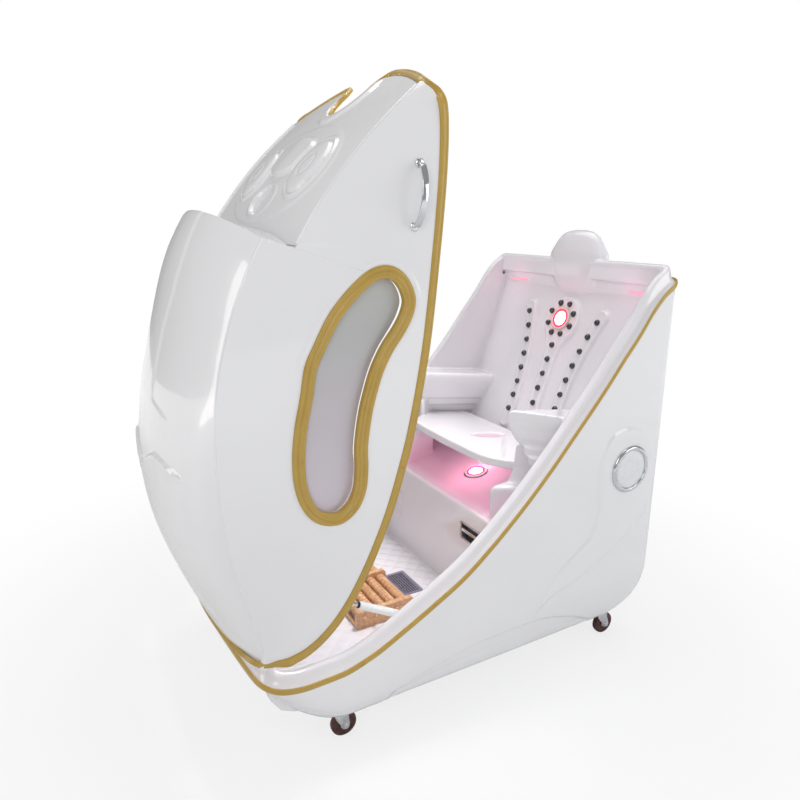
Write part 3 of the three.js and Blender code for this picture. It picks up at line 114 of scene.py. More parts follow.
def lid_side_y(p, q):
    p, q = np.asarray(p, float), np.asarray(q, float)
    top = np.where(p < 985, lidCrease(p), sideCrease(p)); bot = lidRim(p); yc = lidCreaseY(p); yr = lidRimY(p)
    t = np.clip((top - q) / np.maximum(1, top - bot), 0, 1)
    return yc + (yr - yc) * (1 - (1 - t) ** 1.7)


crownA, crownB = curve(CROWN_A), curve(CROWN_B)


def crown(r, p=-22.0):
    return np.maximum(0, 1 - np.abs(r) ** crownA(p)) ** crownB(p)


def spline_loop(pts, k=8, closed=True):
    """Catmull-Rom through 2-D points."""
    P = np.array(pts, float); n = len(P); out = []
    rng = range(n) if closed else range(n - 1)
    for i in rng:
        if closed:
            a, b, c, d = P[(i - 1) % n], P[i], P[(i + 1) % n], P[(i + 2) % n]
        else:
            a, b, c, d = P[max(i - 1, 0)], P[i], P[i + 1], P[min(i + 2, n - 1)]
        for j in range(k):
            t = j / k
            out.append(0.5 * ((2 * b) + (-a + c) * t + (2 * a - 5 * b + 4 * c - d) * t * t + (-a + 3 * b - 3 * c + d) * t ** 3))
    if not closed:
        out.append(P[-1])
    return np.array(out)


def loop_offset(L, d):
    """Moves a closed outline inwards by d."""
    L = np.asarray(L, float); x, y = L[:, 0], L[:, 1]
    area = np.sum(x * np.roll(y, -1) - y * np.roll(x, -1)); sg = 1 if area > 0 else -1
    t = np.roll(L, -1, 0) - np.roll(L, 1, 0); t /= np.linalg.norm(t, axis=1)[:, None]
    return L + sg * d * np.stack([-t[:, 1], t[:, 0]], 1)


def sdf_loop(px, py, L):
    """Signed distance to a closed outline, negative inside, for arrays."""
    px, py = np.asarray(px, float).ravel(), np.asarray(py, float).ravel()
    L = np.asarray(L, float); A, B = L, np.roll(L, -1, 0); best = np.full(px.shape, 1e9); inside = np.zeros(px.shape, bool)
    for a, b in zip(A, B):
        e = b - a; wx, wy = px - a[0], py - a[1]
        t = np.clip((wx * e[0] + wy * e[1]) / max(1e-9, e @ e), 0, 1)
        best = np.minimum(best, (wx - e[0] * t) ** 2 + (wy - e[1] * t) ** 2)
        c = (a[1] > py) != (b[1] > py)
        with np.errstate(divide="ignore", invalid="ignore"):
            xi = (b[0] - a[0]) * (py - a[1]) / (b[1] - a[1] if b[1] != a[1] else 1e-12) + a[0]
        inside ^= c & (px < xi)
    d = np.sqrt(best)
    return np.where(inside, -d, d)


def nearest_on(px, py, L):
    L = np.asarray(L, float); A, B = L, np.roll(L, -1, 0); best = 1e18; out = None
    for a, b in zip(A, B):
        e = b - a; w = np.array([px, py]) - a; t = min(1, max(0, (w @ e) / max(1e-9, e @ e))); q = a + e * t
        dd = (px - q[0]) ** 2 + (py - q[1]) ** 2
        if dd < best: best, out = dd, q
    return out


# --------------------------------------------------------------------------
# Materials
# --------------------------------------------------------------------------
def lin(h):
    h = h.lstrip("#"); v = [int(h[i:i + 2], 16) / 255 for i in (0, 2, 4)]
    return tuple(c / 12.92 if c <= 0.04045 else ((c + 0.055) / 1.055) ** 2.4 for c in v) + (1.0,)


class Mat:
    def __init__(self, name):
        self.m = bpy.data.materials.new(name); self.m.use_nodes = True
        self.t = self.m.node_tree; self.b = self.t.nodes["Principled BSDF"]; self.m.diffuse_color = (0.8, 0.8, 0.8, 1)

    def set(self, **k):
        for n, v in k.items():
            n = n.replace("_", " ")
            self.b.inputs[{"Base": "Base Color", "Emission": "Emission Color"}.get(n, n)].default_value = v
        return self

    def node(self, kind, **k):
        n = self.t.nodes.new(kind)
        for a, v in k.items():
            if hasattr(n, a): setattr(n, a, v)
            else: n.inputs[a].default_value = v
        return n

    def link(self, a, b):
        self.t.links.new(a, b)

    def coords(self):
        if not hasattr(self, "co"): self.co = self.node("ShaderNodeTexCoord")
        return self.co.outputs["Object"]

    def noise(self, scale, detail=3, rough=0.5, stretch=None):
        n = self.node("ShaderNodeTexNoise"); n.inputs["Scale"].default_value = scale; n.inputs["Detail"].default_value = detail; n.inputs["Roughness"].default_value = rough
        src = self.coords()
        if stretch:
            mp = self.node("ShaderNodeMapping"); mp.inputs["Scale"].default_value = stretch; self.link(src, mp.inputs["Vector"]); src = mp.outputs["Vector"]
        self.link(src, n.inputs["Vector"]); return n.outputs["Fac"]

    def ramp(self, fac, stops):
        r = self.node("ShaderNodeValToRGB"); e = r.color_ramp.elements
        while len(e) < len(stops): e.new(0.5)
        for el, (p, c) in zip(e, stops): el.position = p; el.color = c if len(c) == 4 else (*c, 1)
        self.link(fac, r.inputs["Fac"]); return r.outputs["Color"]

    def maprange(self, fac, a, b, c, d):
        n = self.node("ShaderNodeMapRange"); n.inputs["From Min"].default_value = a; n.inputs["From Max"].default_value = b
        n.inputs["To Min"].default_value = c; n.inputs["To Max"].default_value = d; self.link(fac, n.inputs["Value"]); return n.outputs["Result"]

    def mix(self, fac, a, b, kind="MIX"):
        n = self.node("ShaderNodeMix"); n.data_type = "RGBA"; n.blend_type = kind
        for src, i in ((fac, 0), (a, 6), (b, 7)):
            if isinstance(src, (float, int)): n.inputs[i].default_value = src
            elif isinstance(src, tuple): n.inputs[i].default_value = src
            else: self.link(src, n.inputs[i])
        return n.outputs[2]

    def math(self, op, a, b=None):
        n = self.node("ShaderNodeMath"); n.operation = op
        for i, s in enumerate((a, b)):
            if s is None: continue
            if isinstance(s, (float, int)): n.inputs[i].default_value = s
            else: self.link(s, n.inputs[i])
        return n.outputs[0]

    def bump(self, height, strength=0.2, distance=0.001):
        n = self.node("ShaderNodeBump"); n.inputs["Strength"].default_value = strength; n.inputs["Distance"].default_value = distance
        self.link(height, n.inputs["Height"])
        prev = self.b.inputs["Normal"]
        if prev.is_linked: self.link(prev.links[0].from_socket, n.inputs["Normal"])
        self.link(n.outputs["Normal"], prev); return n

    def to(self, src, name):
        self.link(src, self.b.inputs[name]); return self


def gelcoat(name, base, rough=0.16, pink=False):
    m = Mat(name)
    n1 = m.noise(2.2, 3); n2 = m.noise(38, 4, 0.55); n3 = m.noise(900, 2)
    b0 = base; b1 = tuple(c * 0.965 for c in base[:3]) + (1,)
    col = m.ramp(n1, [(0.35, b1), (0.65, b0)])
    # painted pink glow: with pink set, the liner's base colour turns pink in the basin under the seat board, painting
    # the light of the pink lamp there
    if pink:
        sep = m.node("ShaderNodeSeparateXYZ"); m.link(m.coords(), sep.inputs[0])
        X, Y, Z = sep.outputs
        fx = m.maprange(X, (925 + OX) / 1000, (975 + OX) / 1000, 0.25, 1)
        fz = m.maprange(Z, 0.50, 0.60, 1, 0)
        f0 = m.maprange(X, (921 + OX) / 1000, (926 + OX) / 1000, 0, 1)
        fl = m.maprange(Z, 0.478, 0.487, 0, 1)
        f = m.math("MULTIPLY", m.math("MULTIPLY", fx, fz), m.math("MULTIPLY", f0, fl))
        col = m.mix(m.math("MULTIPLY", f, 0.55), col, lin("#FFACD0"))
    m.to(col, "Base Color")
    m.to(m.maprange(n2, 0.3, 0.7, rough * 0.8, rough * 1.3), "Roughness")
    m.set(Coat_Weight=0.8, Coat_Roughness=0.03, Specular_IOR_Level=0.5)
    m.bump(n2, 0.05, 0.0012); m.bump(n3, 0.03, 0.0002)
    return m.m


def simple(name, base, rough, metal=0.0, coat=0.0, nscale=60, var=0.06, bump=0.1, bdist=0.0003, bscale=400):
    m = Mat(name); n1 = m.noise(nscale, 4); n2 = m.noise(bscale, 3)
    b1 = tuple(c * (1 - var) for c in base[:3]) + (1,); b2 = tuple(min(1, c * (1 + var)) for c in base[:3]) + (1,)
    m.to(m.ramp(n1, [(0.3, b1), (0.7, b2)]), "Base Color"); m.to(m.maprange(n1, 0.3, 0.7, rough * 0.8, rough * 1.25), "Roughness")
    m.set(Metallic=metal, Coat_Weight=coat, Coat_Roughness=0.08); m.bump(n2, bump, bdist)
    return m


WHITE = gelcoat("gelcoat_white", lin("#F3F3F5"))
# the liner carries a painted pink glow in the basin under the seat board
LINER = gelcoat("liner_white", lin("#F4F2F6"), 0.14, pink=True)
_o = simple("ochre_trim", lin("#BC9A42"), 0.34, 0.0, 0.35, 30, 0.05, 0.12, 0.0003, 500); OCHRE = _o.m
_o = simple("ochre_band", lin("#AD8230"), 0.36, 0.0, 0.3, 30, 0.06, 0.12, 0.0003, 500); BAND = _o.m
CHROME = simple("chrome", (0.66, 0.67, 0.69, 1), 0.11, 1.0, 0, 14, 0.05, 0.03, 0.0002, 90).m
ZINC = simple("zinc_steel", (0.62, 0.63, 0.65, 1), 0.3, 1.0, 0, 120, 0.12, 0.12, 0.0003, 260).m
BLACKP = simple("black_plastic", (0.018, 0.018, 0.02, 1), 0.4, 0.0, 0.1).m
GRILLE = simple("grille_grey", lin("#8A8596"), 0.45).m
STRUTW = simple("strut_white", lin("#F2F2F3"), 0.22, 0.0, 0.5, 80, 0.02, 0.06).m
HUB = simple("hub_pale", lin("#D8D4CE"), 0.4, 0.0, 0.1).m
LABEL = simple("plate_white", lin("#ECEAF0"), 0.35, 0.0, 0.2, 90, 0.02).m
# painted shade: a dark plate that stands for the shade at the back of the pull recess and in the opening under the
# floor grille
PAINTED_SHADE = simple("painted_shade_dark", lin("#3A3640"), 0.5).m


def stone_mat():
    m = Mat("stone_black"); n = m.noise(160, 5, 0.6); n2 = m.noise(900, 3)
    m.to(m.ramp(n, [(0.35, (0.006, 0.006, 0.008, 1)), (0.62, (0.014, 0.013, 0.016, 1)), (0.8, (0.035, 0.03, 0.032, 1))]), "Base Color")
    m.set(Roughness=0.08, Coat_Weight=1.0, Coat_Roughness=0.02); m.bump(n2, 0.03, 0.0001); return m.m


def wood_mat():
    m = Mat("timber")
    g = m.noise(22, 6, 0.62, (5.0, 0.35, 5.0)); f = m.noise(160, 4, 0.6, (6.0, 0.25, 6.0)); l = m.noise(3.0, 2)
    c = m.ramp(g, [(0.28, lin("#C98F60")), (0.5, lin("#E2B487")), (0.72, lin("#EDC79E"))])
    c = m.mix(m.maprange(f, 0.35, 0.65, 0.35, 0.0), c, lin("#A9673C"))
    c = m.mix(m.maprange(l, 0.3, 0.7, 0, 0.25), c, lin("#D9A06E"))
    m.to(c, "Base Color"); m.to(m.maprange(f, 0.3, 0.7, 0.34, 0.5), "Roughness"); m.set(Coat_Weight=0.25, Coat_Roughness=0.2)
    m.bump(f, 0.25, 0.0004); return m.m


def wheel_mat():
    m = Mat("wheel_red"); n = m.noise(90, 5); n2 = m.noise(420, 4)
    m.to(m.ramp(n, [(0.3, lin("#3A1A18")), (0.6, lin("#56302B")), (0.85, lin("#6E4A44"))]), "Base Color")
    m.to(m.maprange(n2, 0.3, 0.7, 0.38, 0.6), "Roughness"); m.bump(n2, 0.25, 0.0004); return m.m


def glow(name, col, strength, base=(1, 1, 1, 1), rough=0.2):
    m = Mat(name); n = m.noise(180, 3)
    m.set(Base=base, Emission=col); m.to(m.maprange(n, 0.3, 0.7, strength * 0.92, strength * 1.08), "Emission Strength"); m.set(Roughness=rough, Coat_Weight=0.6)
    m.bump(n, 0.08, 0.0002); return m.m


def pane_mat():
    m = Mat("pane_grey"); sep = m.node("ShaderNodeSeparateXYZ"); m.link(m.coords(), sep.inputs[0]); n = m.noise(3, 2); n2 = m.noise(300, 2)
    z = m.math("ADD", sep.outputs[2], m.maprange(n, 0, 1, -0.04, 0.04))
    # painted shade: the pane's colour runs from pale lilac low down to grey higher up, painting the shaded inside of
    # the lid seen through it
    m.to(m.ramp(m.maprange(z, 0.75, 1.30, 0, 1), [(0.0, lin("#DCD4DF")), (0.35, lin("#CFC9D0")), (0.7, lin("#BFC0C0")), (1.0, lin("#C6C9C6"))]), "Base Color")
    m.set(Roughness=0.22, Coat_Weight=0.5, Coat_Roughness=0.1, Alpha=0.93, Transmission_Weight=0.08); m.bump(n2, 0.03, 0.0002); return m.m


STONE, WOOD, WHEEL, PANE = stone_mat(), wood_mat(), wheel_mat(), pane_mat()
GLOW_WHITE = glow("lamp_core_white", (1, 0.93, 0.97, 1), 5.0)
GLOW_PINK = glow("lamp_ring_pink", (1.0, 0.03, 0.17, 1), 1.4, lin("#F0307A"))
GLOW_RED = glow("lamp_ring_red", (1.0, 0.02, 0.05, 1), 1.8, lin("#F02038"))
GLOW_SLOT = glow("slot_pink", (1.0, 0.40, 0.52, 1), 0.45, lin("#F2A8BC"))
LENS = simple("lens_frosted", lin("#E8EAEC"), 0.28, 0.0, 0.5, 40, 0.02).m

# --------------------------------------------------------------------------
# Mesh helpers
# --------------------------------------------------------------------------
SLOT = {r["node"]: r["material_slot"] for r in frame["record"]["subparts"]}


def piece(name, V, F, mats, body="tub", nodes=(), angle=32, mi=None):
    me = bpy.data.meshes.new(name); me.from_pydata([tuple(v) for v in np.asarray(V, float)], [], [tuple(int(i) for i in f) for f in F]); me.validate()
    o = bpy.data.objects.new(name, me); bpy.context.scene.collection.objects.link(o)
    for m in (mats if isinstance(mats, (list, tuple)) else [mats]): me.materials.append(m)
    if mi is not None: me.polygons.foreach_set("material_index", np.asarray(mi, np.int32))
    fix(o, angle); return adopt(o, body, nodes)


def fix(o, angle=32):
    bm = bmesh.new(); bm.from_mesh(o.data); bmesh.ops.recalc_face_normals(bm, faces=bm.faces); bm.to_mesh(o.data); bm.free()
    o.data.shade_smooth(); o.data.set_sharp_from_angle(angle=math.radians(angle)); o.data.update()


def adopt(o, body, nodes=()):
    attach(o, body)
    if nodes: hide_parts(*nodes)
    return o


def grid_faces(m, n, wrap_m=False, wrap_n=False, off=0):
    F = []
    for i in range(m if wrap_m else m - 1):
        a, b = off + (i % m) * n, off + ((i + 1) % m) * n
        for j in range(n if wrap_n else n - 1):
            k = (j + 1) % n
            F.append((a + j, b + j, b + k, a + k))
    return F


class Acc:
    """Gathers several closed forms into one mesh."""
    def __init__(self): self.V, self.F, self.M, self.n = [], [], [], 0

    def add(self, V, F, mi=0):
        V = np.asarray(V, float).reshape(-1, 3); self.V.append(V); self.F += [tuple(i + self.n for i in f) for f in F]; self.M += [mi] * len(F); self.n += len(V); return self

    def get(self): return np.concatenate(self.V), self.F, self.M


def rings(R, loop=False, caps=True):
    """Rings (m, n, 3) to a closed form."""
    R = np.asarray(R, float); m, n = R.shape[:2]; V = R.reshape(-1, 3); F = grid_faces(m, n, wrap_m=loop, wrap_n=True)
    if not loop and caps:
        c0, c1 = R[0].mean(0), R[-1].mean(0); V = np.vstack([V, c0, c1]); a, b = m * n, m * n + 1
        for j in range(n):
            F.append((a, j, (j + 1) % n)); F.append((b, (m - 1) * n + (j + 1) % n, (m - 1) * n + j))
    return V, F


def lathe(prof, seg=48, axis="z", at=(0, 0, 0), frame3=None):
    """prof: (r, h) from axis to axis. Returns V, F in mm; axis is a letter or a 3x3 basis (columns u, v, along)."""
    prof = [(max(r, 0.0), h) for r, h in prof]
    a = np.linspace(0, 2 * pi, seg, endpoint=False); P = []
    core = [p for p in prof if p[0] > 1e-6]
    for r, h in core: P.append(np.stack([r * np.cos(a), r * np.sin(a), np.full(seg, h)], 1))
    R = np.array(P); m = len(core); V = R.reshape(-1, 3); F = grid_faces(m, seg, wrap_n=True)
    V = np.vstack([V, [[0, 0, prof[0][1]]], [[0, 0, prof[-1][1]]]]); c0, c1 = m * seg, m * seg + 1
    for j in range(seg):
        F.append((c0, j, (j + 1) % seg)); F.append((c1, (m - 1) * seg + (j + 1) % seg, (m - 1) * seg + j))
    if frame3 is None:
        B = {"z": np.eye(3), "y": np.array([[1, 0, 0], [0, 0, 1], [0, -1, 0]], float), "x": np.array([[0, 0, 1], [1, 0, 0], [0, 1, 0]], float)}[axis]
        if axis == "y": B = np.array([[0, 1, 0], [0, 0, 1], [1, 0, 0]], float)
    else: B = np.asarray(frame3, float)
    return V @ B.T + np.array(at, float), F


def rounded(prof, r=1.0, k=3):
    """Rounds the inner corners of an open (r, h) profile."""
    P = [np.array(p, float) for p in prof]; out = [P[0]]
    for i in range(1, len(P) - 1):
        a, b, c = P[i - 1], P[i], P[i + 1]; u, v = a - b, c - b; lu, lv = np.linalg.norm(u), np.linalg.norm(v)
        if lu < 1e-9 or lv < 1e-9: continue
        d = min(r, lu * 0.45, lv * 0.45); s, e = b + u / lu * d, b + v / lv * d
        for j in range(k + 1):
            t = j / k; out.append((1 - t) ** 2 * s + 2 * t * (1 - t) * b + t * t * e)
    out.append(P[-1]); return [tuple(p) for p in out]


def round_loop(pts, r, k=4):
    """Rounds the corners of a closed 2-D outline. r is one radius or one a corner."""
    P = np.array(pts, float); n = len(P); out = []
    for i in range(n):
        a, b, c = P[i - 1], P[i], P[(i + 1) % n]; u, v = a - b, c - b; lu, lv = np.linalg.norm(u), np.linalg.norm(v)
        ri = r[i] if isinstance(r, (list, tuple)) else r; d = min(ri, lu * 0.48, lv * 0.48)
        s, e = b + u / max(lu, 1e-9) * d, b + v / max(lv, 1e-9) * d
        for j in range(k + 1):
            t = j / k; out.append((1 - t) ** 2 * s + 2 * t * (1 - t) * b + t * t * e)
    return np.array(out)


def slab(outline, lo, hi, plane="xz", edge=1.0, k=3):
    """A plate from a closed outline with rounded edges. plane xz extrudes along y, xy along z, yz along x."""
    L = np.array(outline, float); R = []
    e = min(edge, (hi - lo) * 0.45)
    for j in range(k + 1):
        t = j / k * pi / 2; R.append((loop_offset(L, e * (1 - math.sin(t))), lo + e * (1 - math.cos(t))))
    for j in range(k + 1):
        t = j / k * pi / 2; R.append((loop_offset(L, e * (1 - math.cos(t))), hi - e * (1 - math.sin(t))))
    out = []
    for P, h in R:
        c = np.full(len(P), h)
        out.append({"xz": np.stack([P[:, 0], c, P[:, 1]], 1), "xy": np.stack([P[:, 0], P[:, 1], c], 1), "yz": np.stack([c, P[:, 0], P[:, 1]], 1)}[plane])
    R = np.array(out); m, n = R.shape[:2]; V = R.reshape(-1, 3); F = grid_faces(m, n, wrap_n=True)
    F.append(tuple(range(n))); F.append(tuple((m - 1) * n + j for j in reversed(range(n))))
    return V, F


def tube(path, r, seg=16, closed=False):
    """A round bar along a 3-D path, r one radius or one a point."""
    P = np.asarray(path, float); n = len(P); rr = np.full(n, r, float) if np.isscalar(r) else np.asarray(r, float)
    T = np.gradient(P, axis=0) if not closed else np.roll(P, -1, 0) - np.roll(P, 1, 0)
    T /= np.linalg.norm(T, axis=1)[:, None]; up = np.array([0, 0, 1.0]) if abs(T[0][2]) < 0.9 else np.array([0, 1.0, 0])
    U = np.cross(T[0], up); U /= np.linalg.norm(U); R = []
    a = np.linspace(0, 2 * pi, seg, endpoint=False)
    for i in range(n):
        U = U - T[i] * (U @ T[i]); U /= np.linalg.norm(U); W = np.cross(T[i], U)
        R.append(P[i] + rr[i] * (np.cos(a)[:, None] * U + np.sin(a)[:, None] * W))
    return rings(R, loop=closed)


def remesh(o, voxel, smooth=6, factor=0.5, angle=40):
    m = o.modifiers.new("vox", "REMESH"); m.mode = "VOXEL"; m.voxel_size = voxel; m.adaptivity = 0
    s = o.modifiers.new("sm", "SMOOTH"); s.factor = factor; s.iterations = smooth
    dg = bpy.context.evaluated_depsgraph_get(); ev = o.evaluated_get(dg); me = bpy.data.meshes.new_from_object(ev)
    mats = [x for x in o.data.materials]; o.modifiers.clear(); old = o.data; o.data = me; me.name = old.name + "_r"; bpy.data.meshes.remove(old)
    me.materials.clear()
    for x in mats: me.materials.append(x)
    me.shade_smooth(); me.set_sharp_from_angle(angle=math.radians(angle)); return o


def raw(name, V, F, mats):
    me = bpy.data.meshes.new(name); me.from_pydata([tuple(v) for v in np.asarray(V, float)], [], [tuple(int(i) for i in f) for f in F]); me.validate()
    o = bpy.data.objects.new(name, me); bpy.context.scene.collection.objects.link(o)
    for m in (mats if isinstance(mats, (list, tuple)) else [mats]): me.materials.append(m)
    bm = bmesh.new(); bm.from_mesh(me); bmesh.ops.recalc_face_normals(bm, faces=bm.faces); bm.to_mesh(me); bm.free(); me.shade_smooth()
    return o


# --------------------------------------------------------------------------
# The tub's plan, as dense smooth stations
# --------------------------------------------------------------------------
def base_stations(pitch=9.0):
    half = [p for p in PLAN]; both = [[x, -y] for x, y in reversed(half[1:])] + half
    S = spline_loop(both, 14, closed=False); mid = len(S) // 2; Q = S[mid:]
    seg = np.linalg.norm(np.diff(Q, axis=0), axis=1); L = np.concatenate([[0], np.cumsum(seg)]); n = int(L[-1] / pitch)
    t = np.linspace(0, L[-1], n + 1); foot = np.stack([np.interp(t, L, Q[:, 0]), np.interp(t, L, Q[:, 1])], 1); foot[-1] = [290, 425]; foot[0][1] = 0
    st = [("f", x, y) for x, y in foot]
    m = int((1454 - 290) / pitch); st += [("s", i / m, 0) for i in range(1, m)]
    st += [("a", a, 0) for a in np.radians(np.linspace(90, 0, 13))]
    m = int(379 / pitch); st += [("r", 1 - i / m, 0) for i in range(1, m + 1)]
    return st


ST = base_stations()


def outline(shift, half, rear, corner=46.0, inset=0.0, full=True):
    shift, half, rear = (np.asarray(v, float) for v in (shift, half, rear)); pts = []
    k = half / HALF
    for i, (kind, a, b) in enumerate(ST):
        g = lambda v: float(v[i]) if getattr(v, "ndim", 0) else float(v)
        sh, ha, re = g(shift), g(half), g(rear)
        if kind == "f": pts.append((a + sh * (1 - 0.15 * b / HALF), b * ha / HALF))
        elif kind == "s": x0 = 290 + sh * 0.85; pts.append((x0 + (re - corner - x0) * a, ha))
        elif kind == "a": pts.append((re - corner + corner * math.cos(a), ha - corner + corner * math.sin(a)))
        else: pts.append((re, (ha - corner) * a))
    P = np.array(pts)
    if not full: return P
    M = P[1:-1][::-1].copy(); M[:, 1] *= -1
    Q = np.vstack([P, M])
    return loop_offset(Q, inset) if inset else Q


BASE = outline(0, HALF, REAR)                       # closed, from the foot's middle round the left flank
_t = np.roll(BASE, -1, 0) - np.roll(BASE, 1, 0); _t /= np.linalg.norm(_t, axis=1)[:, None]
NORM = np.stack([_t[:, 1], -_t[:, 0]], 1)
if (NORM[len(ST) // 2] @ np.array([0, 1.0])) < 0: NORM = -NORM
BZ = trimZ(BASE[:, 0])


def sweep_rim(profile):
    """profile(x) gives (n, z) pairs for one station."""
    R = []
    for (x, y), (nx, ny) in zip(BASE, NORM):
        pr = np.asarray(profile(x), float); R.append(np.stack([x + nx * pr[:, 0], y + ny * pr[:, 0], pr[:, 1]], 1))
    return rings(np.array(R), loop=True)


RAIL = []                                           # an empty list that nothing fills or reads
ARCH = [[500, 96], [518, 120], [536, 139], [584, 154], [632, 169], [698, 185], [767, 198], [837, 206], [911, 208], [987, 206], [1047, 201], [1109, 185], [1173, 162], [1215, 143], [1242, 129], [1262, 112], [1275, 96]]
SWOOSH = [[990, 213], [1005, 250], [1020, 284], [1043, 316], [1068, 345], [1099, 371], [1134, 394], [1168, 418], [1200, 441], [1209, 469], [1220, 503], [1227, 538], [1222, 598], [1218, 654], [1226, 700], [1241, 728], [1260, 758], [1300, 772], [1348, 772], [1404, 750], [1452, 705], [1478, 641], [1474, 600], [1466, 560], [1440, 480], [1381, 420], [1330, 386], [1275, 354], [1217, 328], [1159, 304], [1070, 276], [1040, 262], [1015, 240]]
SOFT_CREASE = [[1180, 866], [1209, 859], [1305, 832], [1372, 810], [1479, 778], [1500, 770]]
arch, softCrease = curve(ARCH), curve(SOFT_CREASE)

# ---- tub outer shell: relief on the flanks, an arched skirt and a recessed floor
def tub_shell():
    K = 190
    x0 = BASE[:, 0]; n = len(BASE); top = BZ + 0.5
    sx = [389.0, 1359.0]
    near = np.maximum(np.exp(-((x0 - sx[0]) / 42) ** 4), np.exp(-((x0 - sx[1]) / 42) ** 4)) * (np.abs(BASE[:, 1]) > 300)
    zb = 97 + 8.5 * near
    levels = []
    def ringat(z, extra=0.0, relief=True):
        P = outline_full(lev[0](z), lev[1](z), lev[2](z))
        nx, ny = NORM[:, 0], NORM[:, 1]
        d = np.full(n, 0.0) + extra
        flank = np.abs(ny) > 0.92
        if relief:
            X = P[:, 0]
            a = arch(X); ins = (X > 502) & (X < 1273) & flank
            w = np.where(ins, sstep(0, 9, a - z) * np.clip((z - 96) / np.maximum(a - 96, 12), 0, 1) ** 0.8, 0)
            d = d - 15 * w * np.clip((a - 96) / 60, 0, 1)
            sd = sdf_cached(X, z, flank)
            fade = 1 - sstep(1395, 1480, X) * (1 - sstep(700, 770, z) * 0.0)
            d = d + 4.6 * sstep(0, 8, -sd) * np.where(flank, fade, 0)
            c = softCrease(X); d = d - 2.4 * sstep(-4, 10, z - c) * sstep(1185, 1290, X) * flank * (1 - sstep(60, 210, z - c))
        Q = P + NORM * d[:, None]
        return np.stack([Q[:, 0], Q[:, 1], np.broadcast_to(z, (n,)).astype(float)], 1)
    out = []
    for inset, z in ((12, 110.5), (11.5, 109)):
        out.append(ringat(np.full(n, float(z)), -inset + 0.0, False))
    for inset, dz in ((9, 4), (7.5, 1.2), (5.5, 0), (3, 0.2), (1.2, 1.4)):
        out.append(ringat(zb + dz, -inset, False))
    for k in range(K + 1):
        t = k / K; out.append(ringat(zb + 3.5 + (top - zb - 3.5) * t))
    for inset, dz in ((2, 1.0), (6, 1.0), (8, -0.5)):
        out.append(ringat(top + dz, -inset, False))
    out.append(ringat(np.full(n, 170.0), -8, False)); out.append(ringat(np.full(n, 121.0), -8, False))
    V, F = rings(np.array(out))
    return piece("tub_shell_skin", tub(V), F, WHITE, "tub", ["tub_outer_shell"], 40)


def outline_full(shift, half, rear):
    m = len(ST); n = len(BASE); idx = np.concatenate([np.arange(m), np.arange(m - 2, 0, -1)]); sg = np.concatenate([np.ones(m), -np.ones(m - 2)])
    kind = np.array([{"f": 0, "s": 1, "a": 2, "r": 3}[s[0]] for s in ST])[idx]; a = np.array([s[1] for s in ST], float)[idx]; b = np.array([s[2] for s in ST], float)[idx]
    corner = 46.0; X = np.zeros(n); Y = np.zeros(n)
    k = kind == 0; X[k] = (a + shift * (1 - 0.15 * b / HALF))[k]; Y[k] = (b * half / HALF)[k]
    k = kind == 1; x0 = 290 + shift * 0.85; X[k] = (x0 + (rear - corner - x0) * a)[k]; Y[k] = (half + 0 * a)[k]
    k = kind == 2; X[k] = (rear - corner + corner * np.cos(a))[k]; Y[k] = (half - corner + corner * np.sin(a))[k]
    k = kind == 3; X[k] = (rear + 0 * a)[k]; Y[k] = ((half - corner) * a)[k]
    return np.stack([X, Y * sg], 1)


SW_DENSE = spline_loop(SWOOSH, 3)
_gx = np.arange(960, 1500, 3.0); _gz = np.arange(190, 800, 3.0)
_GX, _GZ = np.meshgrid(_gx, _gz, indexing="ij"); SDG = sdf_loop(_GX.ravel(), _GZ.ravel(), SW_DENSE).reshape(_GX.shape)


def sdf_cached(X, Z, mask):
    X = np.asarray(X, float); Z = np.broadcast_to(np.asarray(Z, float), X.shape); out = np.full(X.shape, 99.0)
    k = mask & (X > 962) & (X < 1496) & (Z > 192) & (Z < 796)
    fx = (X[k] - 960) / 3; fz = (Z[k] - 190) / 3; i = np.clip(fx.astype(int), 0, len(_gx) - 2); j = np.clip(fz.astype(int), 0, len(_gz) - 2); u, v = fx - i, fz - j
    out[k] = SDG[i, j] * (1 - u) * (1 - v) + SDG[i + 1, j] * u * (1 - v) + SDG[i, j + 1] * (1 - u) * v + SDG[i + 1, j + 1] * u * v
    return out


tub_shell()

# ---- ochre band under the rim
V, F = sweep_rim(lambda x: [(0.4, trimZ(x) - 9.0), (3.4, trimZ(x) - 8.9), (4.5, trimZ(x) - 7.6), (5.1, trimZ(x) - 4.6), (5.4, trimZ(x) - 1), (5.1, trimZ(x) + 2.6), (4.5, trimZ(x) + 5.4), (3.2, trimZ(x) + 6.8), (0.4, trimZ(x) + 7)])
piece("tub_band", tub(V), F, OCHRE, "tub", ["tub_trim_band"], 50)

# ---- the inner moulding: rim, walls, footwell, seat front, basin, armrests, back, ribs and neck rest in one skin
BR = math.radians(19.86); SB, CB = math.sin(BR), math.cos(BR)


def back(s, y, n):
    s, y, n = np.broadcast_arrays(*(np.asarray(v, float) for v in (s, y, n)))
    return np.stack([1387.4 + s * SB - n * CB, y, 900 + s * CB + n * SB], -1)


RIB_SIDE = [[-270, 122], [-213, 113], [-160, 112], [-107, 114], [-54, 118], [-1, 126], [52, 137], [103, 151], [154, 170]]
ribSide = curve(RIB_SIDE)


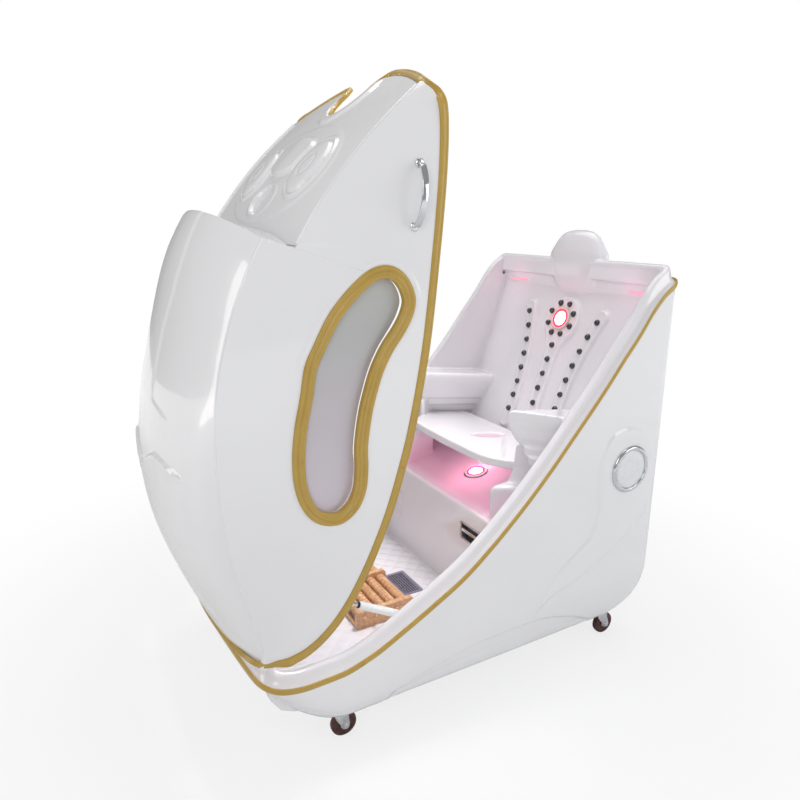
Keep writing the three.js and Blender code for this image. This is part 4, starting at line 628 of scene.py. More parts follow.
def rib_outline(centre):
    L, Rr = [], []; half, head, hr = (30, (147, 0), 82) if centre else (26, (172, 176), 28)
    s0, s1 = (-270, 62) if centre else (-270, 160)
    for i in range(25):
        s = s0 + (s1 - s0) * i / 24; c = 0 if centre else float(ribSide(s)); w = half
        if centre: w = half + 16 * max(0, (s - 0) / 62) ** 2
        L.append([s, c + w]); Rr.append([s, c - w])
    cap = []
    a0 = 140 if centre else 88
    for a in np.linspace(a0, -a0, 40):
        t = math.radians(a); cap.append([head[0] + hr * math.cos(t), head[1] + hr * math.sin(t)])
    foot = [[s0 - 16 * math.sin(t), (0 if centre else float(ribSide(s0))) - half * math.cos(t)] for t in np.linspace(0.25, pi - 0.25, 10)]
    return np.array(L + cap + Rr[::-1] + foot)


def on_back(V):
    V = np.asarray(V, float); return back(V[:, 0], V[:, 1], V[:, 2])


def boxv(x0, x1, y0, y1, z0, z1):
    V = [(x, y, z) for x in (x0, x1) for y in (y0, y1) for z in (z0, z1)]
    return np.array(V, float), [(0, 1, 3, 2), (4, 6, 7, 5), (0, 4, 5, 1), (2, 3, 7, 6), (0, 2, 6, 4), (1, 5, 7, 3)]


def prism(poly, y0, y1):
    L = np.array(poly, float); n = len(L)
    V = np.vstack([np.stack([L[:, 0], np.full(n, y0), L[:, 1]], 1), np.stack([L[:, 0], np.full(n, y1), L[:, 1]], 1)])
    return V, [tuple(range(n)), tuple(range(2 * n - 1, n - 1, -1))] + [(i, n + i, n + (i + 1) % n, (i + 1) % n) for i in range(n)]


def boolean(o, cutters):
    for V, F in cutters:
        c = raw("cutter", tub(V), F, WHITE); m = o.modifiers.new("b", "BOOLEAN"); m.operation = "DIFFERENCE"; m.solver = "EXACT"; m.object = c
        dg = bpy.context.evaluated_depsgraph_get(); me = bpy.data.meshes.new_from_object(o.evaluated_get(dg)); old = o.data; o.modifiers.clear(); o.data = me
        bpy.data.meshes.remove(old); bpy.data.objects.remove(c)
    return o


def liner():
    A = Acc()
    # rolled rim
    def prof(x):
        z, h = float(trimZ(x)), float(rimRise(x))
        return [(-0.3, z - 7), (-0.3, z + 2.4), (-2.0, z + 3.0), (-5, z + 4.2), (-9.5, z + 7.5), (-13.5, z + 13), (-16.5, z + 13 + (h - 20) * 0.45), (-20, z + h - 7), (-23, z + h - 2), (-27.5, z + h), (-37, z + h), (-41, z + h - 2.2), (-43.4, z + h - 6), (-45.6, z + h - 8.5), (-46.4, z + h - 12), (-45.2, z + h - 15.5), (-43.5, z + h - 18), (-43.5, z - 22), (-13, z - 22), (-12, z - 7)]
    A.add(*sweep_rim(prof))
    # side walls, with the ledges that the lid's edge and the armrests sit on
    xs = np.linspace(238, 1456, 150)
    for sg in (-1, 1):
        wall = [[238, 222]] + [[x, float(trimZ(x)) - 12] for x in xs] + [[1484, 1165], [1484, 1120], [1300, 640], [1290, 170], [330, 170], [270, 190]]
        V, F = prism(wall, 381, 395) if sg > 0 else prism(wall, -395, -381); A.add(V, F)
    # footwell
    A.add(*prism([[184, 262], [196, 262], [205, 240], [218, 221], [232, 205], [246, 195], [262, 188], [300, 181], [934, 181], [934, 166], [296, 166], [250, 172], [214, 190], [186, 232]], -386, 386))
    A.add(*boxv(920, 934, -386, 386, 168, 492))
    # basin behind the seat front, with a low rolled lip
    zs = lambda x: 489.6 + (x - 920) * 0.255
    lip = [[920, 480], [920, 492], [923, 496.5], [929, 498], [937, 497.5], [945, 498.2], [965, 501.8], [1000, 511], [1262, 577.8], [1300, 587.5], [1300, 572], [1262, 562], [940, 478]]
    A.add(*prism(lip, -386, 386))
    # reclined back and the upright panel above it
    A.add(*_back_slab())
    A.add(*boxv(1474, 1489, -392, 392, 1100, 1206))
    for sg in (-1, 0, 1):
        o = rib_outline(sg == 0); o = o if sg >= 0 else np.stack([o[:, 0], -o[:, 1]], 1)
        lo, hi, e = -10, 14, 7; L = []
        for j in range(7):
            t = j / 6 * pi / 2; L.append((loop_offset(o, e * (1 - math.cos(t))), hi - e * (1 - math.sin(t))))
        R = [np.stack([o[:, 0], o[:, 1], np.full(len(o), lo)], 1)] + [np.stack([P[:, 0], P[:, 1], np.full(len(P), h)], 1) for P, h in L]
        # the face is a shallow channel between rounded edges
        R.append(np.stack([*loop_offset(o, 9.5).T, np.full(len(o), hi - 0.2)], 1)); R.append(np.stack([*loop_offset(o, 13).T, np.full(len(o), hi - 2.4)], 1))
        V, F = rings(np.array(R)); A.add(on_back(V), F)
    # armrests, parallel to the seat, each on a post that steps forward to a plinth
    for sg in (-1, 1):
        rs = []
        tbl = [(600, 352, 1060), (640, 350, 1050), (676, 336, 1022), (686, 327, 1012), (710, 322, 1008), (713, 312, 1004), (738, 307, 1002), (741, 298, 999), (750, 291, 992), (762, 286, 984), (786, 276, 974), (806, 270, 971), (822, 269, 970), (832, 270, 972), (839, 273, 976), (843, 280, 984)]
        for z, inner, front in tbl:
            xb = 1387.4 + (z - 900) / CB * SB - 6; w = 385
            L = round_loop([[front + (w - inner) * 1.28, w], [front + 26, inner + 22], [front + 14, inner + 10], [front + 12, inner + 6], [front + 15, inner + 2], [front + 22, inner], [xb, inner], [xb, w]], [0.1, 6, 5, 4, 4, 6, 0.1, 0.1], 3)
            rs.append(np.stack([L[:, 0], sg * L[:, 1], z - 0.133 * (L[:, 0] - 972)], 1))
        A.add(*rings(np.array(rs)))
        rs = []
        for z, inner, front in [(486, 258, 925), (590, 258, 925), (597, 260, 929), (603, 264, 938), (608, 267, 960), (611, 268, 981), (630, 269, 991), (656, 270, 1001), (690, 271, 1003), (722, 273, 1004), (732, 284, 1008)]:
            w = 385
            pts = [[min(front + (w - inner) * 1.28, 1120), w], [front + 26, inner + 22], [front + 14, inner + 10], [front + 12, inner + 6], [front + 15, inner + 2], [front + 22, inner], [1064 if z < 640 else 1030, inner], [1108 if z < 640 else 1094, 330], [1140, w]]
            L = round_loop(pts, [0.1, 6, 5, 4, 4, 6, 6, 8, 0.1], 3); rs.append(np.stack([L[:, 0], sg * L[:, 1], np.full(len(L), float(z))], 1))
        A.add(*rings(np.array(rs)))
    # neck rest
    tbl = [(1110, 70, 8), (1126, 86, 14), (1140, 99, 24), (1165, 110, 36), (1200, 120, 44), (1235, 130, 46), (1262, 131, 46), (1273, 126, 45.5), (1284, 117, 44), (1304, 102, 40), (1324, 84, 33), (1334, 68, 26), (1340, 50, 18), (1344, 22, 9)]
    w_, d_ = curve([[a, b] for a, b, c in tbl]), curve([[a, c] for a, b, c in tbl]); rs = []
    for z in np.concatenate([np.linspace(1110, 1324, 45), [1328, 1332, 1335, 1338, 1340, 1342, 1343.2, 1344]]):
        rear = 1498.5; front = min(1490, 1387.4 + (z - 900) / CB * SB + 20) - d_(z); a = np.linspace(0, pi, 33)
        fr = rear - (rear - front) * np.sin(a) ** 0.7
        rs.append(np.stack([np.where(z < 1200, np.maximum(np.minimum(fr, 1490), 0), fr), w_(z) * np.cos(a), np.full(33, z)], 1))
    A.add(*rings(np.array(rs)))
    V, F, _ = A.get()
    o = raw("liner_moulding", tub(V), F, [LINER])
    cut = [boxv(912, 940, -262, -142, 388, 440)]
    hole = lathe([(0, 440), (41.5, 440), (41.5, 620), (0, 620)], 48, "z", (1077, 0, 0))
    remesh(o, 0.0034, 5, 0.5, 50)
    boolean(o, [cut[0], hole, boxv(748.6, 821.4, -69.4, 69.4, 150, 205)])
    o.data.shade_smooth(); o.data.set_sharp_from_angle(angle=math.radians(50))
    return adopt(o, "tub", ["tub_rim", "side_liner_right", "side_liner_left", "footwell_pan", "seat_front_panel", "seat_basin", "armrest_right", "armrest_left", "back_panel", "neck_rest"])


def _back_slab():
    L = [[-348, 384], [190, 384], [240, 384], [262, 384], [262, -384], [-348, -384]]
    R = [np.stack([np.array(L)[:, 0], np.array(L)[:, 1], np.full(len(L), float(h))], 1) for h in (-18, 0)]
    V = np.vstack(R); n = len(L)
    return on_back(V), [tuple(range(n)), tuple(range(2 * n - 1, n - 1, -1))] + [(i, n + i, n + (i + 1) % n, (i + 1) % n) for i in range(n)]


liner()


# ---- seat board: bowed front, lipped edge and an oval opening
BOARD_EDGE = [[345, 1120], [335, 1088], [318, 1062], [300, 1042], [280, 1020], [262, 997], [245, 978], [225, 960], [200, 948], [150, 941.5], [80, 938.5], [0, 937]]


def seat_board():
    A = Acc(); edge = curve([[y, x] for y, x in BOARD_EDGE[::-1]])
    yf = np.linspace(345, -345, 121); xf = edge(np.abs(yf))
    o = np.vstack([np.stack([xf, yf], 1), [[1262, -345]], [[1262, 345]]])
    o = round_loop(o, [10] + [0.1] * 119 + [10, 12, 12], 4)
    def tilt(V):
        V = np.asarray(V, float).copy(); V[:, 2] = V[:, 2] - 0.133 * (V[:, 0] - 940) + 685; return V
    V, F = slab(o, -30, 0, "xy", 6, 6); A.add(tilt(V), F)
    V, F, _ = A.get(); ob = raw("board", tub(V), F, [LINER]); remesh(ob, 0.003, 4, 0.5, 60)
    a = np.linspace(0, 2 * pi, 48, endpoint=False)
    ell = lambda rx, ry, z: np.stack([1125 + rx * np.cos(a), ry * np.sin(a), np.full(48, float(z))], 1)
    V, F = rings(np.array([ell(66, 28, -60), ell(66, 28, -7), ell(67.5, 29.5, -3), ell(72, 34, 0.2), ell(72.5, 34.5, 40)])); V = tilt(V)
    c = raw("cutter", tub(V), F, WHITE); m = ob.modifiers.new("b", "BOOLEAN"); m.operation = "DIFFERENCE"; m.solver = "EXACT"; m.object = c
    dg = bpy.context.evaluated_depsgraph_get(); me = bpy.data.meshes.new_from_object(ob.evaluated_get(dg)); ob.modifiers.clear(); ob.data = me; bpy.data.objects.remove(c)
    ob.data.shade_smooth(); ob.data.set_sharp_from_angle(angle=math.radians(60)); ob.name = "seat_board_shell"
    return adopt(ob, "tub", ["seat_board"])


seat_board()


# ---- lamps in the basin and in the back
def ring_lamp(name, at, basis, r, glowmat, node, dish=0.0, lift=0.0):
    A = Acc(); B = np.asarray(basis, float)
    body = rounded([(0, -8 + lift), (r * 0.97, -8 + lift), (r * 0.97, 1 + lift), (r, 1.4 + lift), (r, 3.2 + lift), (r * 0.84, 4.6 + lift), (r * 0.80, 2.6 + lift), (r * 0.78, 1.2 + lift), (0, 1.2 + lift)], 0.8, 3)
    V, F = lathe(body, 64, frame3=B, at=at); A.add(V, F, 0)
    a = np.linspace(0, 2 * pi, 64, endpoint=False); b = np.linspace(0, 2 * pi, 12, endpoint=False)
    for R0, r0, mi, h in ((r * 0.70, r * 0.085, 1, 2.4 + lift),):
        T = np.array([np.stack([(R0 + r0 * np.cos(b)) * math.cos(t), (R0 + r0 * np.cos(b)) * math.sin(t), h + r0 * np.sin(b)], 1) for t in a]); V, F = rings(T, loop=True); A.add(V @ B.T + np.array(at), F, mi)
    V, F = lathe([(0, 1 + lift), (r * 0.58, 1 + lift), (r * 0.57, 2.6 + lift), (r * 0.48, 4.0 + lift), (r * 0.3, 5.0 + lift), (0, 5.4 + lift)], 64, frame3=B, at=at); A.add(V, F, 2)
    V, F, M_ = A.get()
    return piece(name, tub(V), F, [HUB, glowmat, GLOW_WHITE], "tub", [node], 40, M_)


_t = math.atan(0.255)
ring_lamp("seat_ring_lamp", (1077, 0, 489.6 + (1077 - 920) * 0.255 + 3.4), [[math.cos(_t), 0, -math.sin(_t)], [0, 1, 0], [math.sin(_t), 0, math.cos(_t)]], 40, GLOW_PINK, "seat_lamp")
BACKB = np.array([[SB, 0, -CB], [0, 1, 0], [CB, 0, SB]])      # columns: up the back, across, out of the back
ring_lamp("back_ring_lamp", tuple(back(147, 0, 14.6)), BACKB, 42, GLOW_RED, "back_lamp")


# ---- heated stones: polished domes standing in shallow sockets
def stones(name, pts, node):
    A = Acc()
    for k, (s, y) in enumerate(pts):
        r = 10.6 + 0.5 * math.sin(k * 2.3); at = tuple(back(s, y, 12.0))
        pr = [(0, -3), (r, -3), (r + 0.4, 0.5), (r + 0.2, 3.2), (r * 0.93, 6.2), (r * 0.78, 8.9), (r * 0.56, 10.9), (r * 0.3, 12.1), (0, 12.5)]
        V, F = lathe(pr, 32, frame3=BACKB, at=at); A.add(V, F, 0)
        b = np.linspace(0, 2 * pi, 10, endpoint=False); R0 = r + 1.6
        T = np.array([np.stack([(R0 + 1.5 * np.cos(b)) * math.cos(t), (R0 + 1.5 * np.cos(b)) * math.sin(t), 1.2 + 1.2 * np.sin(b)], 1) for t in np.linspace(0, 2 * pi, 32, endpoint=False)])
        V, F = rings(T, loop=True); A.add(V @ BACKB.T + np.array(at), F, 1)
    V, F, M_ = A.get(); piece(name, tub(V), F, [STONE, LINER], "tub", [node], 60, M_)


side = [(154 - 52.6 * i, float(ribSide(154 - 52.6 * i))) for i in range(8)]
stones("stones_left", side, "stone_strip_left"); stones("stones_right", [(s, -y) for s, y in side], "stone_strip_right")
stones("stones_centre", [(s, 0) for s in (49, -3.5, -56, -110, -166, -220)] + [(147 + 58 * math.cos((i + 0.5) * pi / 4), 58 * math.sin((i + 0.5) * pi / 4)) for i in range(8)], "stone_strip_centre")

# ---- pull in the seat front: a recess with a chrome bar, the dark plate at its back painted shade
A = Acc()
a = [(-262, 388), (-142, 388), (-142, 440), (-262, 440)]
o = round_loop(a, 5, 4); R = []
for ins, x in ((-4, 919.4), (-4, 917.6), (-2.5, 916.6), (1, 917), (2.2, 919), (2.6, 941), (2.6, 944)):
    L = loop_offset(o, ins); R.append(np.stack([np.full(len(L), x), L[:, 0], L[:, 1]], 1))
V, F = rings(np.array(R), caps=False); A.add(V, F, 0)
# the dark plate at the back of the recess is painted shade
V, F = slab(loop_offset(o, 1), 943, 946, "yz", 0.8, 2); A.add(V, F, 1)
V, F = slab(round_loop([(-257, 411), (-147, 411), (-147, 423), (-257, 423)], 3, 4), 917.5, 926.5, "yz", 2.4, 4); A.add(V, F, 0)
V, F, M_ = A.get(); piece("pull_recess_bar", tub(V), F, [CHROME, PAINTED_SHADE], "tub", ["panel_pull"], 35, M_)
V, F = slab(round_loop([(245, 300), (348, 300), (348, 400), (245, 400)], 3, 3), 918.4, 920.6, "yz", 0.5, 2)
piece("blank_plate", tub(V), F, LABEL, "tub", [], 35)

# ---- grille in the floor
A = Acc()
o = round_loop([(748.5, -69.5), (821.5, -69.5), (821.5, 69.5), (748.5, 69.5)], 5, 4); R = []
for ins, z in ((0.3, 168), (0.3, 181), (-3, 181.4), (-3, 183), (-2, 183.8), (5, 183.6), (7, 182), (7.2, 168)):
    L = loop_offset(o, ins); R.append(np.stack([L[:, 0], L[:, 1], np.full(len(L), z)], 1))
V, F = rings(np.array(R), loop=True); A.add(V, F, 0)
# the dark plate under the grille's bars is painted shade in the opening below
V, F = slab(loop_offset(o, 4), 166, 169, "xy", 0.5, 2); A.add(V, F, 1)
for i in range(7):
    x = 758.5 + i * 8.8; V, F = slab(round_loop([(x, -63), (x + 3.6, -63), (x + 3.6, 63), (x, 63)], 1, 2), 170, 181.5, "xy", 0.9, 2); A.add(V, F, 0)
for y in (-31, 0, 31): V, F = slab([(755, y - 1.4), (815, y - 1.4), (815, y + 1.4), (755, y + 1.4)], 172, 179.5, "xy", 0.5, 2); A.add(V, F, 0)
V, F, M_ = A.get(); piece("floor_grille", tub(V), F, [GRILLE, PAINTED_SHADE], "tub", ["footwell_grille"], 35, M_)

# ---- quilted pattern raised on the footwell floor
def quilt():
    xs = np.arange(300, 914, 4.0); ys = np.arange(-376, 377, 4.0); X, Y = np.meshgrid(xs, ys, indexing="ij")
    u = (X + Y) / 58.0; v = (X - Y) / 58.0; h = np.abs(np.sin(pi * u)) ** 0.5 * np.abs(np.sin(pi * v)) ** 0.5
    edge = np.minimum.reduce([(X - 300) / 12, (914 - X) / 12, (Y + 376) / 12, (376 - Y) / 12, np.ones_like(X)])
    g = np.maximum(np.abs(X - 785) - 46, np.abs(Y) - 79); edge = np.minimum(edge, np.clip(g / 10, 0, 1)); f = np.maximum(np.abs(X - 630) - 104, np.abs(Y - 28) - 200)
    Z = 180.6 + 3.0 * h * np.clip(edge, 0, 1) - 0.8 * (edge <= 0)
    T = np.stack([X, Y, Z], -1); B_ = np.stack([X, Y, np.full_like(X, 178.8)], -1); m, n = X.shape
    V = np.vstack([T.reshape(-1, 3), B_.reshape(-1, 3)]); F = grid_faces(m, n) + [tuple(reversed(f_)) for f_ in grid_faces(m, n, off=m * n)]
    top = lambda i, j: i * n + j; bot = lambda i, j: m * n + i * n + j
    for i in range(m - 1): F.append((top(i, 0), bot(i, 0), bot(i + 1, 0), top(i + 1, 0))); F.append((top(i, n - 1), top(i + 1, n - 1), bot(i + 1, n - 1), bot(i, n - 1)))
    for j in range(n - 1): F.append((top(0, j), top(0, j + 1), bot(0, j + 1), bot(0, j))); F.append((top(m - 1, j), bot(m - 1, j), bot(m - 1, j + 1), top(m - 1, j + 1)))
    keep = []
    cx = lambda f_: np.mean([V[i] for i in f_], 0)
    for f_ in F:
        c = cx(f_)
        if abs(c[0] - 785) < 36.5 and abs(c[1]) < 69.5: continue
        keep.append(f_)
    o = piece("quilted_floor", tub(V), keep, LINER, "tub", [], 60)
    bm = bmesh.new(); bm.from_mesh(o.data); loose = [v for v in bm.verts if not v.link_faces]; bmesh.ops.delete(bm, geom=loose, context="VERTS")
    be = [e for e in bm.edges if e.is_boundary]
    if be: bmesh.ops.bridge_loops(bm, edges=be)
    bmesh.ops.recalc_face_normals(bm, faces=bm.faces); bm.to_mesh(o.data); bm.free()


quilt()

# ---- pink light slots at the top of the back
for sg, nm in ((-1, "right"), (1, "left")):
    o = round_loop([(sg * 297 - 52, 1152), (sg * 297 + 52, 1152), (sg * 297 + 52, 1160), (sg * 297 - 52, 1160)], 3.8, 4)
    V, F = slab(o, 1471.6, 1476.5, "yz", 0.8, 2); piece("slot_light_" + nm, tub(V), F, GLOW_SLOT, "tub", [], 35)


# ---- round lamps on the flanks: chrome bezel, frosted lens
for sg, nm in ((-1, "right"), (1, "left")):
    B = np.array([[1, 0, 0], [0, 0, sg], [0, 1, 0]], float)
    A = Acc(); at = (1346, sg * 425.2, 638)
    bez = rounded([(0, 0), (70, 0), (75.6, 1.2), (76, 5), (75, 9), (71.5, 12.4), (66.5, 13.6), (62, 12.6), (60.6, 9.6), (60, 6.5), (0, 6.5)], 1.6, 4)
    V, F = lathe(bez, 96, frame3=B, at=at); A.add(V, F, 0)
    V, F = lathe([(0, 6), (60.4, 6), (60.2, 8.2), (58.6, 9.4), (54, 10.2), (40, 11.4), (20, 12.3), (0, 12.6)], 96, frame3=B, at=at); A.add(V, F, 1)
    for k in range(36):
        t = 2 * pi * k / 36; c = np.array([at[0] + 67 * math.cos(t), at[1] + sg * 12.6, at[2] + 67 * math.sin(t)])
        V, F = lathe([(0, -1.2), (2.4, -1.2), (2.2, 1.0), (1.2, 1.7), (0, 1.9)], 10, frame3=B, at=tuple(c)); A.add(V, F, 0)
    V, F, M_ = A.get(); piece("flank_lamp_bezel_" + nm, tub(V), F, [CHROME, LENS], "tub", ["flank_lamp_" + nm], 40, M_)

# ---- foot roller: timber rails and five ribbed rollers
A = Acc(); RX, RZ = [556, 593, 630, 667, 704], 216
for y0, y1 in ((-168, -150), (20, 36), (206, 224)):
    V, F = slab(round_loop([(532, 182), (728, 182), (730, 190), (730, 230), (722, 240), (538, 240), (530, 230), (530, 190)], [2, 2, 4, 8, 8, 8, 8, 4], 4), y0, y1, "xz", 2.4, 3); A.add(V, F)
for x0 in (531, 719):
    V, F = slab(round_loop([(x0, 184), (x0 + 10, 184), (x0 + 10, 196), (x0, 196)], 2, 2), -152, 208, "xz", 1, 2); A.add(V, F)
V, F, _ = A.get(); piece("roller_rails", tub(V), F, WOOD, "tub", ["roller_frame"], 35)
for i, x in enumerate(RX):
    A = Acc(); y0, y1 = -176, 232; prof = [(0, y0), (5, y0), (6.2, y0 + 1.4), (6.2, -149.6)]
    for lo, hi in ((-148.6, 19.2), (37.2, 204.8)):
        n = 9; w = (hi - lo) / n; prof += [(6.2, lo - 0.4)] if prof[-1][1] < lo - 0.5 else []
        for k in range(n):
            a_ = lo + k * w; prof += [(11.6, a_ + 0.3), (14.6, a_ + w * 0.12), (16.0, a_ + w * 0.34), (16.0, a_ + w * 0.66), (14.6, a_ + w * 0.88)]
        prof += [(11.6, hi - 0.2), (6.2, hi)]
    prof += [(6.2, y1 - 1.4), (5, y1), (0, y1)]
    V, F = lathe(prof, 40, frame3=np.array([[1, 0, 0], [0, 0, 1], [0, 1, 0]], float), at=(x, 0, RZ)); A.add(V, F)
    V, F, _ = A.get(); piece("ribbed_roller_%d" % (i + 1), tub(V), F, WOOD, "roller_%d" % (i + 1), ["foot_roller_%d" % (i + 1)], 50)

# --------------------------------------------------------------------------
# Lid
# --------------------------------------------------------------------------
TONGUE = [[325, 150], [380, 140], [421, 118], [470, 96], [548, 81], [600, 76], [709, 80], [833, 98], [905, 99], [965, 90], [1020, 84]]
tongue = curve(TONGUE)
LEAF = [(352, 0), (366, 22), (392, 62), (421, 121), (420, 160), (415, 193), (409, 242), (403, 266), (392, 240), (376, 195), (358, 150), (344, 100), (333, 48), (329, 0)]
_lf = spline_loop(LEAF + [(p, -y) for p, y in LEAF[::-1][1:-1]], 3)
_leaf_up = np.array(LEAF[:8], float); _leaf_dn = np.array(LEAF[7:][::-1], float)
leafUp = lambda y: np.interp(np.abs(y), *_leaf_up[np.argsort(_leaf_up[:, 1])][:, ::-1].T)
leafDn = lambda y: np.interp(np.abs(y), *_leaf_dn[np.argsort(_leaf_dn[:, 1])][:, ::-1].T)


def dome_relief(p, y):
    ay = np.abs(y); w = tongue(p)
    on = sstep(7, -2, ay - w) * sstep(430, 560, p) * (1 - 0.0 * p)
    wing = sstep(-6, 6, (525 + (548 - 525) * np.clip((179 - ay) / 98, 0, 1)) - p) * sstep(200, 150, ay) * sstep(70, 90, ay) * sstep(430, 520, p)
    d = 3.2 * np.maximum(on, wing * 0.9)
    a, b = leafUp(y), leafDn(y); t = np.clip((p - b) / np.maximum(a - b, 4), 0, 1); inside = (ay < 266)
    d = d + np.where(inside, 7.5 * t * sstep(a + 5, a - 1, p) * sstep(266, 235, ay), 0)
    return d - 7.6 * sstep(140, 300, p) * sstep(600, 470, p) * sstep(330, 240, ay)


def dome():
    U = np.concatenate([np.linspace(0, 0.04, 8)[:-1], np.linspace(0.04, 0.99, 210), [0.995, 1.0]]); Vv = np.sin(np.linspace(-pi / 2, pi / 2, 181))
    u, v = np.meshgrid(U, Vv, indexing="ij")
    pT = -22 + u * (RIDGE_P + 22); pC = 8 + u * 975; yc = lidCreaseY(pC) - 9
    p = pC + (pT - pC) * (1 - v * v); qc = lidCrease(pC) - 0.5; q = qc + (lidCentre(pT) - qc) * crown(v, pT); y = v * yc
    O = np.stack([p, y, q], -1)
    du = np.gradient(O, axis=0); dv = np.gradient(O, axis=1); Nn = np.cross(du, dv); Nn /= np.maximum(np.linalg.norm(Nn, axis=-1, keepdims=True), 1e-9)
    if Nn[len(U) // 2, 90, 2] < 0: Nn = -Nn
    O = O + Nn * dome_relief(p, y)[..., None]
    # the upper edge rolls over into the step
    roll = sstep(0.985, 1.0, u); O[..., 2] -= 3.5 * roll ** 2
    I = O - Nn * 8; I[..., 2] = np.minimum(I[..., 2], O[..., 2] - 3)
    m, n = u.shape; V = np.vstack([O.reshape(-1, 3), I.reshape(-1, 3)]); F = grid_faces(m, n) + [tuple(reversed(f)) for f in grid_faces(m, n, off=m * n)]
    t_ = lambda i, j: i * n + j; b_ = lambda i, j: m * n + i * n + j
    for i in range(m - 1): F.append((t_(i, 0), b_(i, 0), b_(i + 1, 0), t_(i + 1, 0))); F.append((t_(i, n - 1), t_(i + 1, n - 1), b_(i + 1, n - 1), b_(i, n - 1)))
    for j in range(n - 1): F.append((t_(0, j), t_(0, j + 1), b_(0, j + 1), b_(0, j))); F.append((t_(m - 1, j), b_(m - 1, j), b_(m - 1, j + 1), t_(m - 1, j + 1)))
    piece("dome_skin", lidw(V), F, WHITE, "lid", ["lid_dome"], 55)
    # bead along each crease
    for sg, nm in ((-1, "right"), (1, "left")):
        pp = np.linspace(8, 983, 200); path = np.stack([pp, sg * (lidCreaseY(pp) - 5.5), lidCrease(pp) - 1.6], 1)
        V, F = tube(lidw(path) * 1000, 4.6, 12); piece("crease_bead_" + nm, V / 1000, F, WHITE, "lid", [], 60)


dome()


def shoulder_q(p, y):
    return shoulder(p) + 10 * (1 - (y / 380) ** 2)


def head_edge(y):
    return 1510 - np.maximum(0, np.abs(y) - 110) ** 1.6 * 0.0098


COVER = (1193.0, 183.0)


def head_relief(p, y):
    ay = np.abs(y); r = np.hypot(p - COVER[0], (ay - COVER[1]))
    d = 5.0 * sstep(92, 84, r) - 2.6 * sstep(80, 77, r) * sstep(71, 74, r) + 3.6 * sstep(74, 69, r) + 3.0 * np.sqrt(np.maximum(0, 1 - (np.minimum(r, 66) / 66) ** 2)) - 1.6 * sstep(34, 31, r) * sstep(25, 28, r)
    # saddle bridge above and between the covers
    e1 = ((p - 1235) / 62) ** 2 + (y / 118) ** 2; sad = sstep(1.12, 0.72, e1) * sstep(90, 104, r)
    waist = np.exp(-((y / 60) ** 2)); d = d + 11 * sad * (0.75 + 0.25 * waist)
    e2 = ((p - 1104) / 41) ** 2 + (y / 66) ** 2; d = d - 9 * sstep(1.15, 0.75, e2) + 2.2 * sstep(1.75, 1.35, e2) * sstep(1.0, 1.2, e2)
    # arched moulding round the pair of covers
    e3 = np.sqrt(((p - 1185) / 150) ** 2 + (y / 300) ** 2); d = d + 1.8 * sstep(1.03, 0.97, e3)
    # raised lip round the neck notch
    rn = np.hypot(np.minimum(p - 1464, 0) / 1.0, y / 1.09); nd = np.where(p < 1464, rn - 88, ay - 96)
    d = d + 4.5 * sstep(30, 20, nd) * sstep(-4, 2, nd + 4)
    return d


def head_panel():
    U = np.linspace(0, 1, 150); Vv = np.linspace(-1, 1, 151); u, v = np.meshgrid(U, Vv, indexing="ij")
    pe = 992 + u * (1424 - 992); w = lid_side_y(pe, np.minimum(shoulder(pe), sideCrease(pe) - 1)) - 9.2
    y = v * w; p = 992 + u * (head_edge(y) - 22.4 - 992); q = shoulder_q(p, y)
    O = np.stack([p, y, q], -1); du = np.gradient(O, axis=0); dv = np.gradient(O, axis=1); Nn = np.cross(du, dv); Nn /= np.linalg.norm(Nn, axis=-1, keepdims=True)
    if Nn[70, 75, 2] < 0: Nn = -Nn
    I = O - Nn * 8; edge = np.clip(np.minimum(1 - np.abs(v), 1 - u) / 0.04, 0, 1)
    O = O + Nn * (head_relief(p, y) * edge)[..., None]
    m, n = u.shape; V = np.vstack([O.reshape(-1, 3), I.reshape(-1, 3)]); F = grid_faces(m, n) + [tuple(reversed(f)) for f in grid_faces(m, n, off=m * n)]
    t_ = lambda i, j: i * n + j; b_ = lambda i, j: m * n + i * n + j
    for i in range(m - 1): F.append((t_(i, 0), b_(i, 0), b_(i + 1, 0), t_(i + 1, 0))); F.append((t_(i, n - 1), t_(i + 1, n - 1), b_(i + 1, n - 1), b_(i, n - 1)))
    for j in range(n - 1): F.append((t_(0, j), t_(0, j + 1), b_(0, j + 1), b_(0, j))); F.append((t_(m - 1, j), b_(m - 1, j), b_(m - 1, j + 1), t_(m - 1, j + 1)))
    o = raw("head_panel_skin", lidw(V), F, [WHITE])
    a = np.linspace(-pi / 2, pi / 2, 40); nt = [(1464 - 88 * math.cos(t), 98 * math.sin(t)) for t in a]
    nt = [(1700, -98)] + nt + [(1700, 98)]; L = np.array(nt, float); n2 = len(L)
    V = np.vstack([np.stack([L[:, 0], L[:, 1], np.full(n2, h)], 1) for h in (-150.0, 150.0)]); F = [tuple(range(n2)), tuple(range(2 * n2 - 1, n2 - 1, -1))] + [(i, n2 + i, n2 + (i + 1) % n2, (i + 1) % n2) for i in range(n2)]
    c = raw("cutter", lidw(V), F, WHITE); mo = o.modifiers.new("b", "BOOLEAN"); mo.operation = "DIFFERENCE"; mo.solver = "EXACT"; mo.object = c
    dg = bpy.context.evaluated_depsgraph_get(); me = bpy.data.meshes.new_from_object(o.evaluated_get(dg)); o.modifiers.clear(); o.data = me; bpy.data.objects.remove(c)
    fix(o, 50); adopt(o, "lid", ["lid_head_panel"])
    for sg, nm in ((-1, "right"), (1, "left")):
        pp = np.linspace(994, 1408, 100); qq = shoulder(pp); yy = lid_side_y(pp, qq) - 6; path = np.stack([pp, sg * yy, qq - 0.2], 1)
        V, F = tube(lidw(path) * 1000, 4.4, 12); piece("shoulder_bead_" + nm, V / 1000, F, WHITE, "lid", [], 60)


head_panel()


